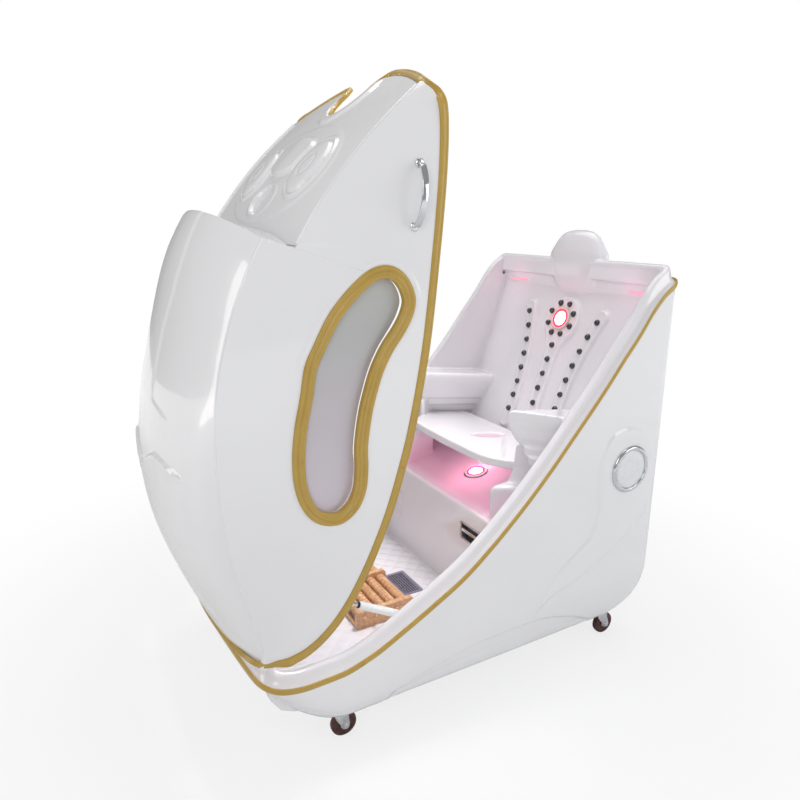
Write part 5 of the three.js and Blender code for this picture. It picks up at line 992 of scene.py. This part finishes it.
def step_panel():
    v = np.linspace(-1, 1, 121); yc = lidCreaseY(980) - 9.5; y = v * yc; p = 983 + (RIDGE_P - 985) * (1 - v * v)
    top = lidCrease(983) + (lidCentre(RIDGE_P) - lidCrease(983)) * crown(v, RIDGE_P) - 9; bot = np.minimum(top - 6, shoulder_q(p - 8, y) + 1)
    R = []; h = np.linspace(0, 1, 24)
    for t in h:
        bulge = 4 * np.sin(pi * np.clip(t, 0, 1)) * (1 - v ** 4) * 0
        R.append(np.stack([p + bulge + 6 * (1 - t) ** 4 * (1 - v ** 6), y, bot + (top - bot) * t], 1))
    for t in h[::-1]: R.append(np.stack([p - 6, y, bot + (top - bot) * t], 1))
    R = np.array(R); V = R.reshape(-1, 3); m, n = R.shape[:2]; F = grid_faces(m, n, wrap_m=True)
    F.append(tuple(i * n for i in range(m))); F.append(tuple(i * n + n - 1 for i in reversed(range(m))))
    piece("step_skin", lidw(V), F, WHITE, "lid", ["lid_step_panel"], 40)


step_panel()

WIN = spline_loop(WINDOW, 6); WIN_C = WIN.mean(0)
_wp = np.arange(150, 1180, 4.0); _wq = np.arange(-230, 320, 4.0); _WP, _WQ = np.meshgrid(_wp, _wq, indexing="ij"); WSD = sdf_loop(_WP.ravel(), _WQ.ravel(), WIN).reshape(_WP.shape)


def win_sd(p, q):
    p, q = np.asarray(p, float), np.asarray(q, float); out = np.full(p.shape, 99.0); k = (p > 152) & (p < 1172) & (q > -228) & (q < 312)
    fx, fy = (p[k] - 150) / 4, (q[k] + 230) / 4; i = np.clip(fx.astype(int), 0, len(_wp) - 2); j = np.clip(fy.astype(int), 0, len(_wq) - 2); a, b = fx - i, fy - j
    out[k] = WSD[i, j] * (1 - a) * (1 - b) + WSD[i + 1, j] * a * (1 - b) + WSD[i, j + 1] * (1 - a) * b + WSD[i + 1, j + 1] * a * b
    return out


def side_panel(sg, nm):
    ps = np.concatenate([np.linspace(10, 60, 26)[:-1], np.linspace(60, 985, 190)[:-1], [984.9, 985.1], np.linspace(991, 1420, 86)]); ts = np.linspace(0, 1, 86)
    P_, T_ = np.meshgrid(ps, ts, indexing="ij")
    top = np.where(P_ < 985, lidCrease(P_), np.minimum(shoulder(P_) + 0.5, sideCrease(P_))) - 0.3
    sl = (lidRim(P_ + 4) - lidRim(P_ - 4)) / 8; drop = np.minimum(20 * np.sqrt(1 + sl * sl), 58); bot = np.minimum(lidRim(P_) + drop, top - 3)
    q = bot + (top - bot) * T_; y = lid_side_y(P_, q)
    sd = win_sd(P_, q); d = 1.5 * np.exp(-((sd - 10) / 2.6) ** 2) - 1.2 * sstep(26, 8, sd) * 0
    # the step's ridge runs on down the side and fades
    a, b = np.array([985, 262.0]), np.array(RIDGE_END); e = b - a; L = np.linalg.norm(e); e = e / L
    al = ((P_ - a[0]) * e[0] + (q - a[1]) * e[1]); ac = (P_ - a[0]) * (-e[1]) + (q - a[1]) * e[0]
    d = d + 3.4 * np.exp(-(ac / 5.0) ** 2) * np.clip(1 - al / L, 0, 1) * (al > -5)
    yo = y + d; yo = np.where(T_ > 0.985, y, yo)
    O = np.stack([P_, yo, q], -1); I = np.stack([P_, y - 8, q], -1); m, n = P_.shape
    V = np.vstack([O.reshape(-1, 3), I.reshape(-1, 3)]); V[:, 1] *= sg; F = grid_faces(m, n) + [tuple(reversed(f)) for f in grid_faces(m, n, off=m * n)]
    t_ = lambda i, j: i * n + j; b_ = lambda i, j: m * n + i * n + j
    for i in range(m - 1): F.append((t_(i, 0), b_(i, 0), b_(i + 1, 0), t_(i + 1, 0))); F.append((t_(i, n - 1), t_(i + 1, n - 1), b_(i + 1, n - 1), b_(i, n - 1)))
    for j in range(n - 1): F.append((t_(0, j), t_(0, j + 1), b_(0, j + 1), b_(0, j))); F.append((t_(m - 1, j), b_(m - 1, j), b_(m - 1, j + 1), t_(m - 1, j + 1)))
    o = raw("side_skin_" + nm, lidw(V), F, [WHITE])
    L2 = loop_offset(WIN, 10); n2 = len(L2); lo, hi = (300.0, 520.0) if sg > 0 else (-520.0, -300.0)
    V = np.vstack([np.stack([L2[:, 0], np.full(n2, h), L2[:, 1]], 1) for h in (lo, hi)]); F = [tuple(range(n2)), tuple(range(2 * n2 - 1, n2 - 1, -1))] + [(i, n2 + i, n2 + (i + 1) % n2, (i + 1) % n2) for i in range(n2)]
    c = raw("cutter", lidw(V), F, WHITE); mo = o.modifiers.new("b", "BOOLEAN"); mo.operation = "DIFFERENCE"; mo.solver = "EXACT"; mo.object = c
    dg = bpy.context.evaluated_depsgraph_get(); me = bpy.data.meshes.new_from_object(o.evaluated_get(dg)); o.modifiers.clear(); o.data = me; bpy.data.objects.remove(c)
    fix(o, 50); adopt(o, "lid", ["lid_side_" + nm])
    # window frame with stepped ribs
    prof = [(0, 0.4), (0.5, 2.8), (1.8, 4.3), (4.5, 5.0), (8.0, 5.0), (9.6, 4.3), (10.8, 3.1), (12.2, 2.8), (13.6, 3.5), (14.8, 4.9), (16.8, 5.6), (19.4, 5.6), (21.2, 4.8), (22.2, 3.4), (23.6, 2.6), (26.5, 2.6), (28.8, 2.2), (29.8, 1.0), (30, -0.6), (30, -11.5), (11, -11.5), (11, -0.2), (0.4, -0.2)]
    R = []
    for dd, h in prof:
        L2 = loop_offset(WIN, dd); yy = lid_side_y(L2[:, 0], L2[:, 1]) + h; R.append(np.stack([L2[:, 0], sg * yy, L2[:, 1]], 1))
    R = np.transpose(np.array(R), (1, 0, 2)); V, F = rings(R, loop=True)
    piece("window_surround_" + nm, lidw(V), F, OCHRE, "lid", ["window_frame_" + nm], 40)
    L2 = loop_offset(WIN, 28.5); yy = lid_side_y(L2[:, 0], L2[:, 1]); ym = yy.min() - 7; R = []
    for h in (-2, 2):
        for k, f in enumerate((1.0, 0.97, 0.75, 0.5, 0.25) if h > 0 else (0.25, 0.5, 0.75, 0.97, 1.0)):
            C_ = L2.mean(0); Q = C_ + (L2 - C_) * f; R.append(np.stack([Q[:, 0], np.full(len(Q), sg * (ym + h)), Q[:, 1]], 1))
    V, F = rings(np.array(R)); piece("window_glazing_" + nm, lidw(V), F, PANE, "lid", ["window_pane_" + nm], 40)
    # chrome bow handle
    H = np.array([[1113, -48], [1250, -16]], float); ln = np.linalg.norm(H[1] - H[0]); dx, dz = (H[1] - H[0]) / ln; R = []
    cs = round_loop([(-8, 0), (8, 0), (8, 5), (-8, 5)], [1.2, 1.2, 2.2, 2.2], 4)
    for a in (1 - np.cos(np.linspace(0, pi, 61))) / 2:
        p, q_ = H[0][0] + dx * ln * a, H[0][1] + dz * ln * a; out = 1.8 + 30 * max(0.0, math.sin(pi * a)) ** 0.55; yb = float(lid_side_y(p, q_))
        R.append(np.stack([p + dz * cs[:, 0], sg * (yb + out + cs[:, 1]), q_ - dx * cs[:, 0]], 1))
    A = Acc(); V, F = rings(np.array(R)); A.add(V, F)
    for k in (0, 1):
        p, q_ = H[k]; sgn = 1 if k == 0 else -1; yb = float(lid_side_y(p, q_)); p += sgn * dx * 2; q_ += sgn * dz * 2
        V, F = lathe([(0, -0.5), (11, -0.5), (11, 1.6), (9.5, 3.2), (7.5, 3.8), (0, 4)], 32, frame3=np.array([[1, 0, 0], [0, 0, sg], [0, 1, 0]], float), at=(p, sg * yb, q_)); A.add(V, F)
    V, F, _ = A.get(); piece("bow_handle_" + nm, lidw(V), F, CHROME, "lid", ["lid_handle_" + nm], 40)


RIDGE_END = (1040.0, 40.0)
for sg, nm in ((-1, "right"), (1, "left")): side_panel(sg, nm)


def edge_trim():
    side = []; W0 = 22.0; NOTCH_P = 1376
    for p in [30, 44, 60, 80, 104, 135, 170, 213, 270, 322, 400, 475, 560, 638, 740, 860, 960, 1065, 1150, 1238, 1300, 1345, 1377, 1398]:
        sl = float((lidRim(p + 3) - lidRim(p - 3)) / 6); l = math.hypot(1, sl)
        side.append(([p, float(lidRimY(p)) + 0.4, float(lidRim(p))], [-sl / l, 0, 1 / l], [0, 1, 0], W0))
    corner = [([1414, 414, -16], [-0.75, -0.45, 0.45], [0.05, 0.85, 0.5], W0), ([1424, 398, -1], [-0.9, -0.35, 0.2], [0.25, 0.5, 0.83], W0)]
    head = []
    for y in [372, 330, 280, 230, 180, 140]:
        p = float(head_edge(y)); head.append(([p, y, float(shoulder_q(min(p, 1510), y)) + 0.6], [-0.9, 0, 0.43], [0.43, 0, 0.9], W0 * (0.55 + 0.45 * min(1, (y - 120) / 170))))
    notch = [([1504, 112, float(shoulder_q(1504, 112)) + 0.6], [-0.62, 0.72, 0.3], [0.43, 0, 0.9], 12)]
    for a in range(0, 91, 18):
        t = math.radians(a); p = NOTCH_P + W0 * 0.35 + 88 - 88 * math.sin(t); y = 84 * math.cos(t)
        notch.append(([p, y, float(shoulder_q(p, y)) + 0.6], [-0.9 * math.sin(t), math.cos(t), 0.43 * math.sin(t)], [0.43, 0, 0.9], 7))
    half = side + corner + head + notch
    foot = [([20, 404, -34], [0.35, -0.1, 0.9], [-0.5, 0.85, 0], W0), ([6, 384, -8], [0.45, 0, 0.88], [-0.88, 0.3, 0.4], W0)]
    for v in (0.86, 0.7, 0.5, 0.25):
        y = v * 398; foot.append(([8 - 30 * (1 - v * v), y, -5 + 42 * float(crown(v)) - 4], [0.5, 0, 0.86], [-0.86, 0, 0.5], W0))
    loop = foot[::-1] + half; mir = lambda s: ([s[0][0], -s[0][1], s[0][2]], [s[1][0], -s[1][1], s[1][2]], [s[2][0], -s[2][1], s[2][2]], s[3])
    al = [([-24, 0, 33], [0.55, 0, 0.83], [-0.83, 0, 0.55], W0)] + loop + [mir(s) for s in loop[:-1][::-1]]
    D = np.array([list(s[0]) + list(s[1]) + list(s[2]) + [s[3]] for s in al]); n = len(D); k = 9; out = []
    for i in range(n):
        a, b, c, d = D[i - 1], D[i], D[(i + 1) % n], D[(i + 2) % n]
        # centripetal spacing keeps the long and the short spans from overshooting
        ta = np.linalg.norm(b[:3] - a[:3]) ** 0.5; tb = np.linalg.norm(c[:3] - b[:3]) ** 0.5; tc = np.linalg.norm(d[:3] - c[:3]) ** 0.5
        m1 = (b - a) / ta - (c - a) / (ta + tb) + (c - b) / tb; m2 = (c - b) / tb - (d - b) / (tb + tc) + (d - c) / tc; m1, m2 = m1 * tb, m2 * tb
        for j in range(k):
            t = j / k; out.append((2 * t ** 3 - 3 * t ** 2 + 1) * b + (t ** 3 - 2 * t * t + t) * m1 + (3 * t * t - 2 * t ** 3) * c + (t ** 3 - t * t) * m2)
    R = []
    for r in out:
        P, d, nn, w = r[:3], r[3:6] / np.linalg.norm(r[3:6]), r[6:9] / np.linalg.norm(r[6:9]), r[9]
        pr = [(0, -9), (-0.2, -4), (0, 0.2), (0.8, 1.4), (w * 0.14, 2.1), (w * 0.22, 2.2), (w * 0.27, 1.5), (w * 0.33, 1.5), (w * 0.38, 2.5), (w * 0.55, 3.0), (w * 0.8, 2.6), (w - 1.2, 1.9), (w - 0.2, 0.8), (w, -0.4), (w, -9)]
        R.append([P + d * a + nn * b for a, b in pr])
    V, F = rings(np.array(R), loop=True); piece("edge_moulding", lidw(V), F, OCHRE, "lid", ["lid_edge_trim"], 45)


edge_trim()

# --------------------------------------------------------------------------
# Gas struts
# --------------------------------------------------------------------------
for sg, nm in ((-1, "right"), (1, "left")):
    b0 = np.array([620, 314.0]); b1 = np.array([333, 471.0]); dv = b1 - b0; L = float(np.linalg.norm(dv)); dx, dz = dv / L
    ax = np.array([[0, -dz, dx], [1, 0, 0], [0, dx, dz]], float)         # columns: u, v, along
    o3 = (b0[0], sg * 368.0, b0[1])
    A = Acc(); V, F = lathe([(0, 14), (9.2, 14), (10.6, 15.6), (11, 18), (11, 199), (10.4, 201.5), (9, 203), (0, 203)], 48, frame3=ax, at=o3); A.add(V, F, 0)
    V, F = lathe([(0, 202), (8.4, 202), (8.4, 204.6), (6.2, 205.6), (0, 205.6)], 40, frame3=ax, at=o3); A.add(V, F, 1)
    V, F = lathe([(0, 2), (5.4, 2), (5.4, 12), (6.4, 14.5), (0, 14.5)], 24, frame3=ax, at=o3); A.add(V, F, 1)
    yb = np.array([[1, 0, 0], [0, 0, 1], [0, 1, 0]], float)
    V, F = lathe([(0, -5.4), (7.6, -5.4), (9, -4.2), (9.2, 0), (9, 4.2), (7.6, 5.4), (0, 5.4)], 32, frame3=yb, at=o3); A.add(V, F, 1)
    V, F = lathe([(0, 5), (4, 5), (4, 8.2), (9.6, 8.8), (10, 9.8), (10, 12.4), (0, 12.4)], 32, frame3=np.array([[1, 0, 0], [0, 0, sg], [0, 1, 0]], float), at=o3); A.add(V, F, 2)
    V, F, M_ = A.get(); piece("strut_barrel_" + nm, tub(V), F, [STRUTW, BLACKP, ZINC], "cylinder_" + nm, ["strut_cylinder_" + nm], 40, M_)
    A = Acc(); V, F = lathe([(0, 112), (5, 112), (5, L - 14), (5.6, L - 13), (5.6, L - 9), (0, L - 9)], 32, frame3=ax, at=o3); A.add(V, F, 0)
    o4 = (b1[0], sg * 368.0, b1[1]); V, F = lathe([(0, -5.4), (7.6, -5.4), (9, -4.2), (9.2, 0), (9, 4.2), (7.6, 5.4), (0, 5.4)], 32, frame3=yb, at=o4); A.add(V, F, 1)
    V, F = lathe([(0, L - 12), (6.2, L - 12), (6.2, L - 6), (0, L - 6)], 24, frame3=ax, at=o3); A.add(V, F, 1)
    V, F, M_ = A.get(); piece("strut_piston_" + nm, tub(V), F, [CHROME, BLACKP], "rod_" + nm, ["strut_rod_" + nm], 40, M_)

# --------------------------------------------------------------------------
# Castors
# --------------------------------------------------------------------------
for i, (cx, trail, end) in enumerate(((403, 14, "front"), (1381, 22, "rear"))):
    for sg, nm in ((-1, "right"), (1, "left")):
        cy = sg * 346 * (1 if i else 0.97); sx = cx - trail; A = Acc(); yb = np.array([[1, 0, 0], [0, 0, 1], [0, 1, 0]], float)
        V, F = lathe(rounded([(0, 109.2), (26.6, 109.2), (27, 106.6), (25.4, 104), (17, 103.4), (17, 101), (19.5, 99.6), (19.8, 93), (17.6, 90.6), (16, 88.4), (0, 88.4)], 0.9, 3), 48, at=(sx, cy, 0)); A.add(V, F)
        V, F = slab(round_loop([(sx - 20, cy - 19), (sx + 24, cy - 19), (sx + 24, cy + 19), (sx - 20, cy + 19)], 6, 5), 81, 89, "xy", 2, 3); A.add(V, F)
        for s in (-1, 1):
            o = round_loop([(sx - 19, 89), (sx - 16, 70), (cx - 12, 40), (cx - 9, 29), (cx + 9, 29), (cx + 12, 40), (sx + 23, 70), (sx + 24, 89)], [3, 10, 8, 7, 7, 8, 10, 3], 5)
            V, F = slab(o, cy + s * 17.5 - 1.5, cy + s * 17.5 + 1.5, "xz", 0.8, 2); A.add(V, F)
            V, F = lathe([(0, 0), (6.8, 0), (7, 0.8), (6.4, 3.0), (5, 3.6), (0, 3.8)] if s > 0 else [(0, 0), (7.6, 0), (7.6, 2.4), (6.6, 3.4), (0, 3.4)], 6 if s > 0 else 24, frame3=np.array([[1, 0, 0], [0, 0, s], [0, 1, 0]], float), at=(cx, cy + s * 19, 37.5)); A.add(V, F)
        V, F, _ = A.get(); piece("castor_yoke_%s_%s" % (end, nm), tub(V), F, ZINC, "fork_%s_%s" % (end, nm), ["castor_fork_%s_%s" % (end, nm)], 35)
        A = Acc()
        V, F = lathe(rounded([(0, -13.4), (8.5, -13.4), (9.5, -11.4), (22, -10.2), (24.5, -11), (27.5, -11.4), (32.5, -10.8), (36.2, -8.4), (37.4, -4.6), (37.5, 0), (37.4, 4.6), (36.2, 8.4), (32.5, 10.8), (27.5, 11.4), (24.5, 11), (22, 10.2), (9.5, 11.4), (8.5, 13.4), (0, 13.4)], 0.8, 3), 96, frame3=yb, at=(cx, cy, 37.5)); A.add(V, F, 0)
        for s in (-1, 1):
            V, F = lathe([(0, 10), (12.6, 10), (12.6, 11.8), (11.6, 12.8), (7.6, 13.6), (7.2, 15.4), (0, 15.4)], 48, frame3=np.array([[1, 0, 0], [0, 0, s], [0, 1, 0]], float), at=(cx, cy, 37.5)); A.add(V, F, 1)
            for k in range(6):
                t = 2 * pi * k / 6; c = (cx + 18 * math.cos(t), cy + s * 0, 37.5 + 18 * math.sin(t))
                V, F = lathe([(0, 9.4), (3.4, 9.4), (3.2, 11.2), (2.2, 11.9), (0, 12)], 16, frame3=np.array([[1, 0, 0], [0, 0, s], [0, 1, 0]], float), at=c); A.add(V, F, 0)
        V, F, M_ = A.get(); piece("castor_tyre_%s_%s" % (end, nm), tub(V), F, [WHEEL, ZINC], "wheel_%s_%s" % (end, nm), ["castor_wheel_%s_%s" % (end, nm)], 40, M_)

# --------------------------------------------------------------------------
# CAD nodes that are shown as they are
# --------------------------------------------------------------------------
BY_SLOT = {"gelcoat_white": WHITE, "liner_white": LINER, "ochre_trim": OCHRE, "chrome": CHROME, "steel": ZINC, "timber": WOOD, "stone_black": STONE, "lamp_pink": GLOW_PINK, "lamp_red": GLOW_RED, "pane_grey": PANE, "wheel_red": WHEEL, "plastic_black": BLACKP, "grille_grey": GRILLE, "strut_white": STRUTW}
for name, ob in N.items():
    if ob.type != "MESH": continue
    ob.data.materials.clear(); ob.data.materials.append(BY_SLOT[SLOT[name]])

# --------------------------------------------------------------------------
# Stage, light and camera
# --------------------------------------------------------------------------
me = bpy.data.meshes.new("floor"); S = 12.0
me.from_pydata([(-S, -S, 0), (S, -S, 0), (S, S, 0), (-S, S, 0)], [], [(0, 1, 2, 3)]); floor = bpy.data.objects.new("floor", me); bpy.context.scene.collection.objects.link(floor)
fm = Mat("floor_pale"); fn = fm.noise(3, 3); fm.to(fm.ramp(fn, [(0.3, (0.90, 0.90, 0.905, 1)), (0.7, (0.93, 0.93, 0.935, 1))]), "Base Color"); fm.set(Roughness=0.75, Specular_IOR_Level=0.2)
_ln = fm.node("ShaderNodeVectorMath"); _ln.operation = "LENGTH"; fm.link(fm.coords(), _ln.inputs[0])
_em = fm.node("ShaderNodeEmission"); _em.inputs["Color"].default_value = (1.0, 1.0, 1.0, 1)
_mx = fm.node("ShaderNodeMixShader"); _mr = fm.node("ShaderNodeMapRange"); _mr.interpolation_type = "SMOOTHERSTEP"
_mr.inputs["From Min"].default_value = 0.7; _mr.inputs["From Max"].default_value = 2.2; _mr.inputs["To Min"].default_value = 0.75; fm.link(_ln.outputs["Value"], _mr.inputs["Value"])
_m2 = fm.node("ShaderNodeMapRange"); _m2.interpolation_type = "SMOOTHERSTEP"; _m2.inputs["From Min"].default_value = 1.3; _m2.inputs["From Max"].default_value = 5.0; fm.link(_ln.outputs["Value"], _m2.inputs["Value"])
_fl = fm.node("ShaderNodeLightPath"); _fc = fm.mix(_fl.outputs["Is Camera Ray"], _m2.outputs["Result"], _mr.outputs["Result"])
fm.link(_fc, _mx.inputs["Fac"]); fm.link(fm.b.outputs[0], _mx.inputs[1]); fm.link(_em.outputs[0], _mx.inputs[2]); fm.link(_mx.outputs[0], fm.t.nodes["Material Output"].inputs["Surface"])
me.materials.append(fm.m)


def area(name, loc, target, size, power, color=(1, 1, 1), size_y=None, spread=180):
    l = bpy.data.lights.new(name, "AREA"); l.energy = power; l.size = size; l.color = color; l.spread = math.radians(spread)
    if size_y: l.shape = "RECTANGLE"; l.size_y = size_y
    o = bpy.data.objects.new(name, l); o.location = loc; bpy.context.scene.collection.objects.link(o)
    o.rotation_euler = (Vector(target) - Vector(loc)).to_track_quat("-Z", "Y").to_euler(); return o


def point(name, loc, power, color, radius=0.03):
    l = bpy.data.lights.new(name, "POINT"); l.energy = power; l.color = color; l.shadow_soft_size = radius
    o = bpy.data.objects.new(name, l); o.location = loc; o.visible_glossy = False; bpy.context.scene.collection.objects.link(o); return o


area("key_softbox", (-2.6, -3.2, 3.0), (0, 0, 0.8), 2.2, 38, (0.99, 0.99, 1.0))
area("fill_softbox", (2.8, -3.0, 1.9), (0.2, 0, 0.7), 2.0, 31, (0.96, 0.985, 1.0))
area("top_softbox", (0.5, 0.5, 4.2), (0.2, 0, 0.4), 3.2, 54, (1, 1, 1))
area("side_strip", (-3.2, 0.9, 1.6), (-0.4, 0, 0.9), 0.7, 13, (1.0, 0.955, 0.93), 2.4)
ox = OX / 1000
area("well_softbox", (0.42, -0.1, 2.3), (-0.12, 0, 0.25), 0.45, 2.0, (1, 0.99, 1.0), spread=48)
point("seat_glow", (1.077 + ox, 0, 0.585), 0.22, (1.0, 0.36, 0.55), 0.05)
point("seat_glow_front", (0.985 + ox, -0.02, 0.57), 0.12, (1.0, 0.42, 0.60), 0.06)
c = back(147, 0, 60)
point("back_glow", (float(c[0]) / 1000 + ox, 0, float(c[2]) / 1000), 0.09, (1.0, 0.12, 0.2), 0.04)
for sg in (-1, 1): point("top_glow_%d" % (sg + 1), (1.42 + ox, sg * 0.27, 1.172), 0.05, (1.0, 0.30, 0.5), 0.05)

w = bpy.data.worlds.new("studio"); bpy.context.scene.world = w; w.use_nodes = True
bg = w.node_tree.nodes["Background"]; bg.inputs["Color"].default_value = (1.0, 1.0, 1.0, 1)
_lp = w.node_tree.nodes.new("ShaderNodeLightPath"); _wm = w.node_tree.nodes.new("ShaderNodeMapRange")
_wm.inputs["To Min"].default_value = 0.36; _wm.inputs["To Max"].default_value = 1.0
w.node_tree.links.new(_lp.outputs["Is Camera Ray"], _wm.inputs["Value"]); w.node_tree.links.new(_wm.outputs["Result"], bg.inputs["Strength"])

cam_d = bpy.data.cameras.new("camera"); cam_d.lens = 29.67; cam_d.sensor_width = 36; cam_d.sensor_fit = "HORIZONTAL"
cam = bpy.data.objects.new("camera", cam_d); bpy.context.scene.collection.objects.link(cam)
cam.location = (-0.2083 + ox, -1.7411, 1.3889); cam.rotation_euler = (math.radians(90 - 15.549), 0, math.radians(-29.409))
bpy.context.scene.camera = cam
vs = bpy.context.scene.view_settings; vs.view_transform = "Standard"; vs.look = "None"; vs.exposure = 0.0; vs.gamma = 1.0
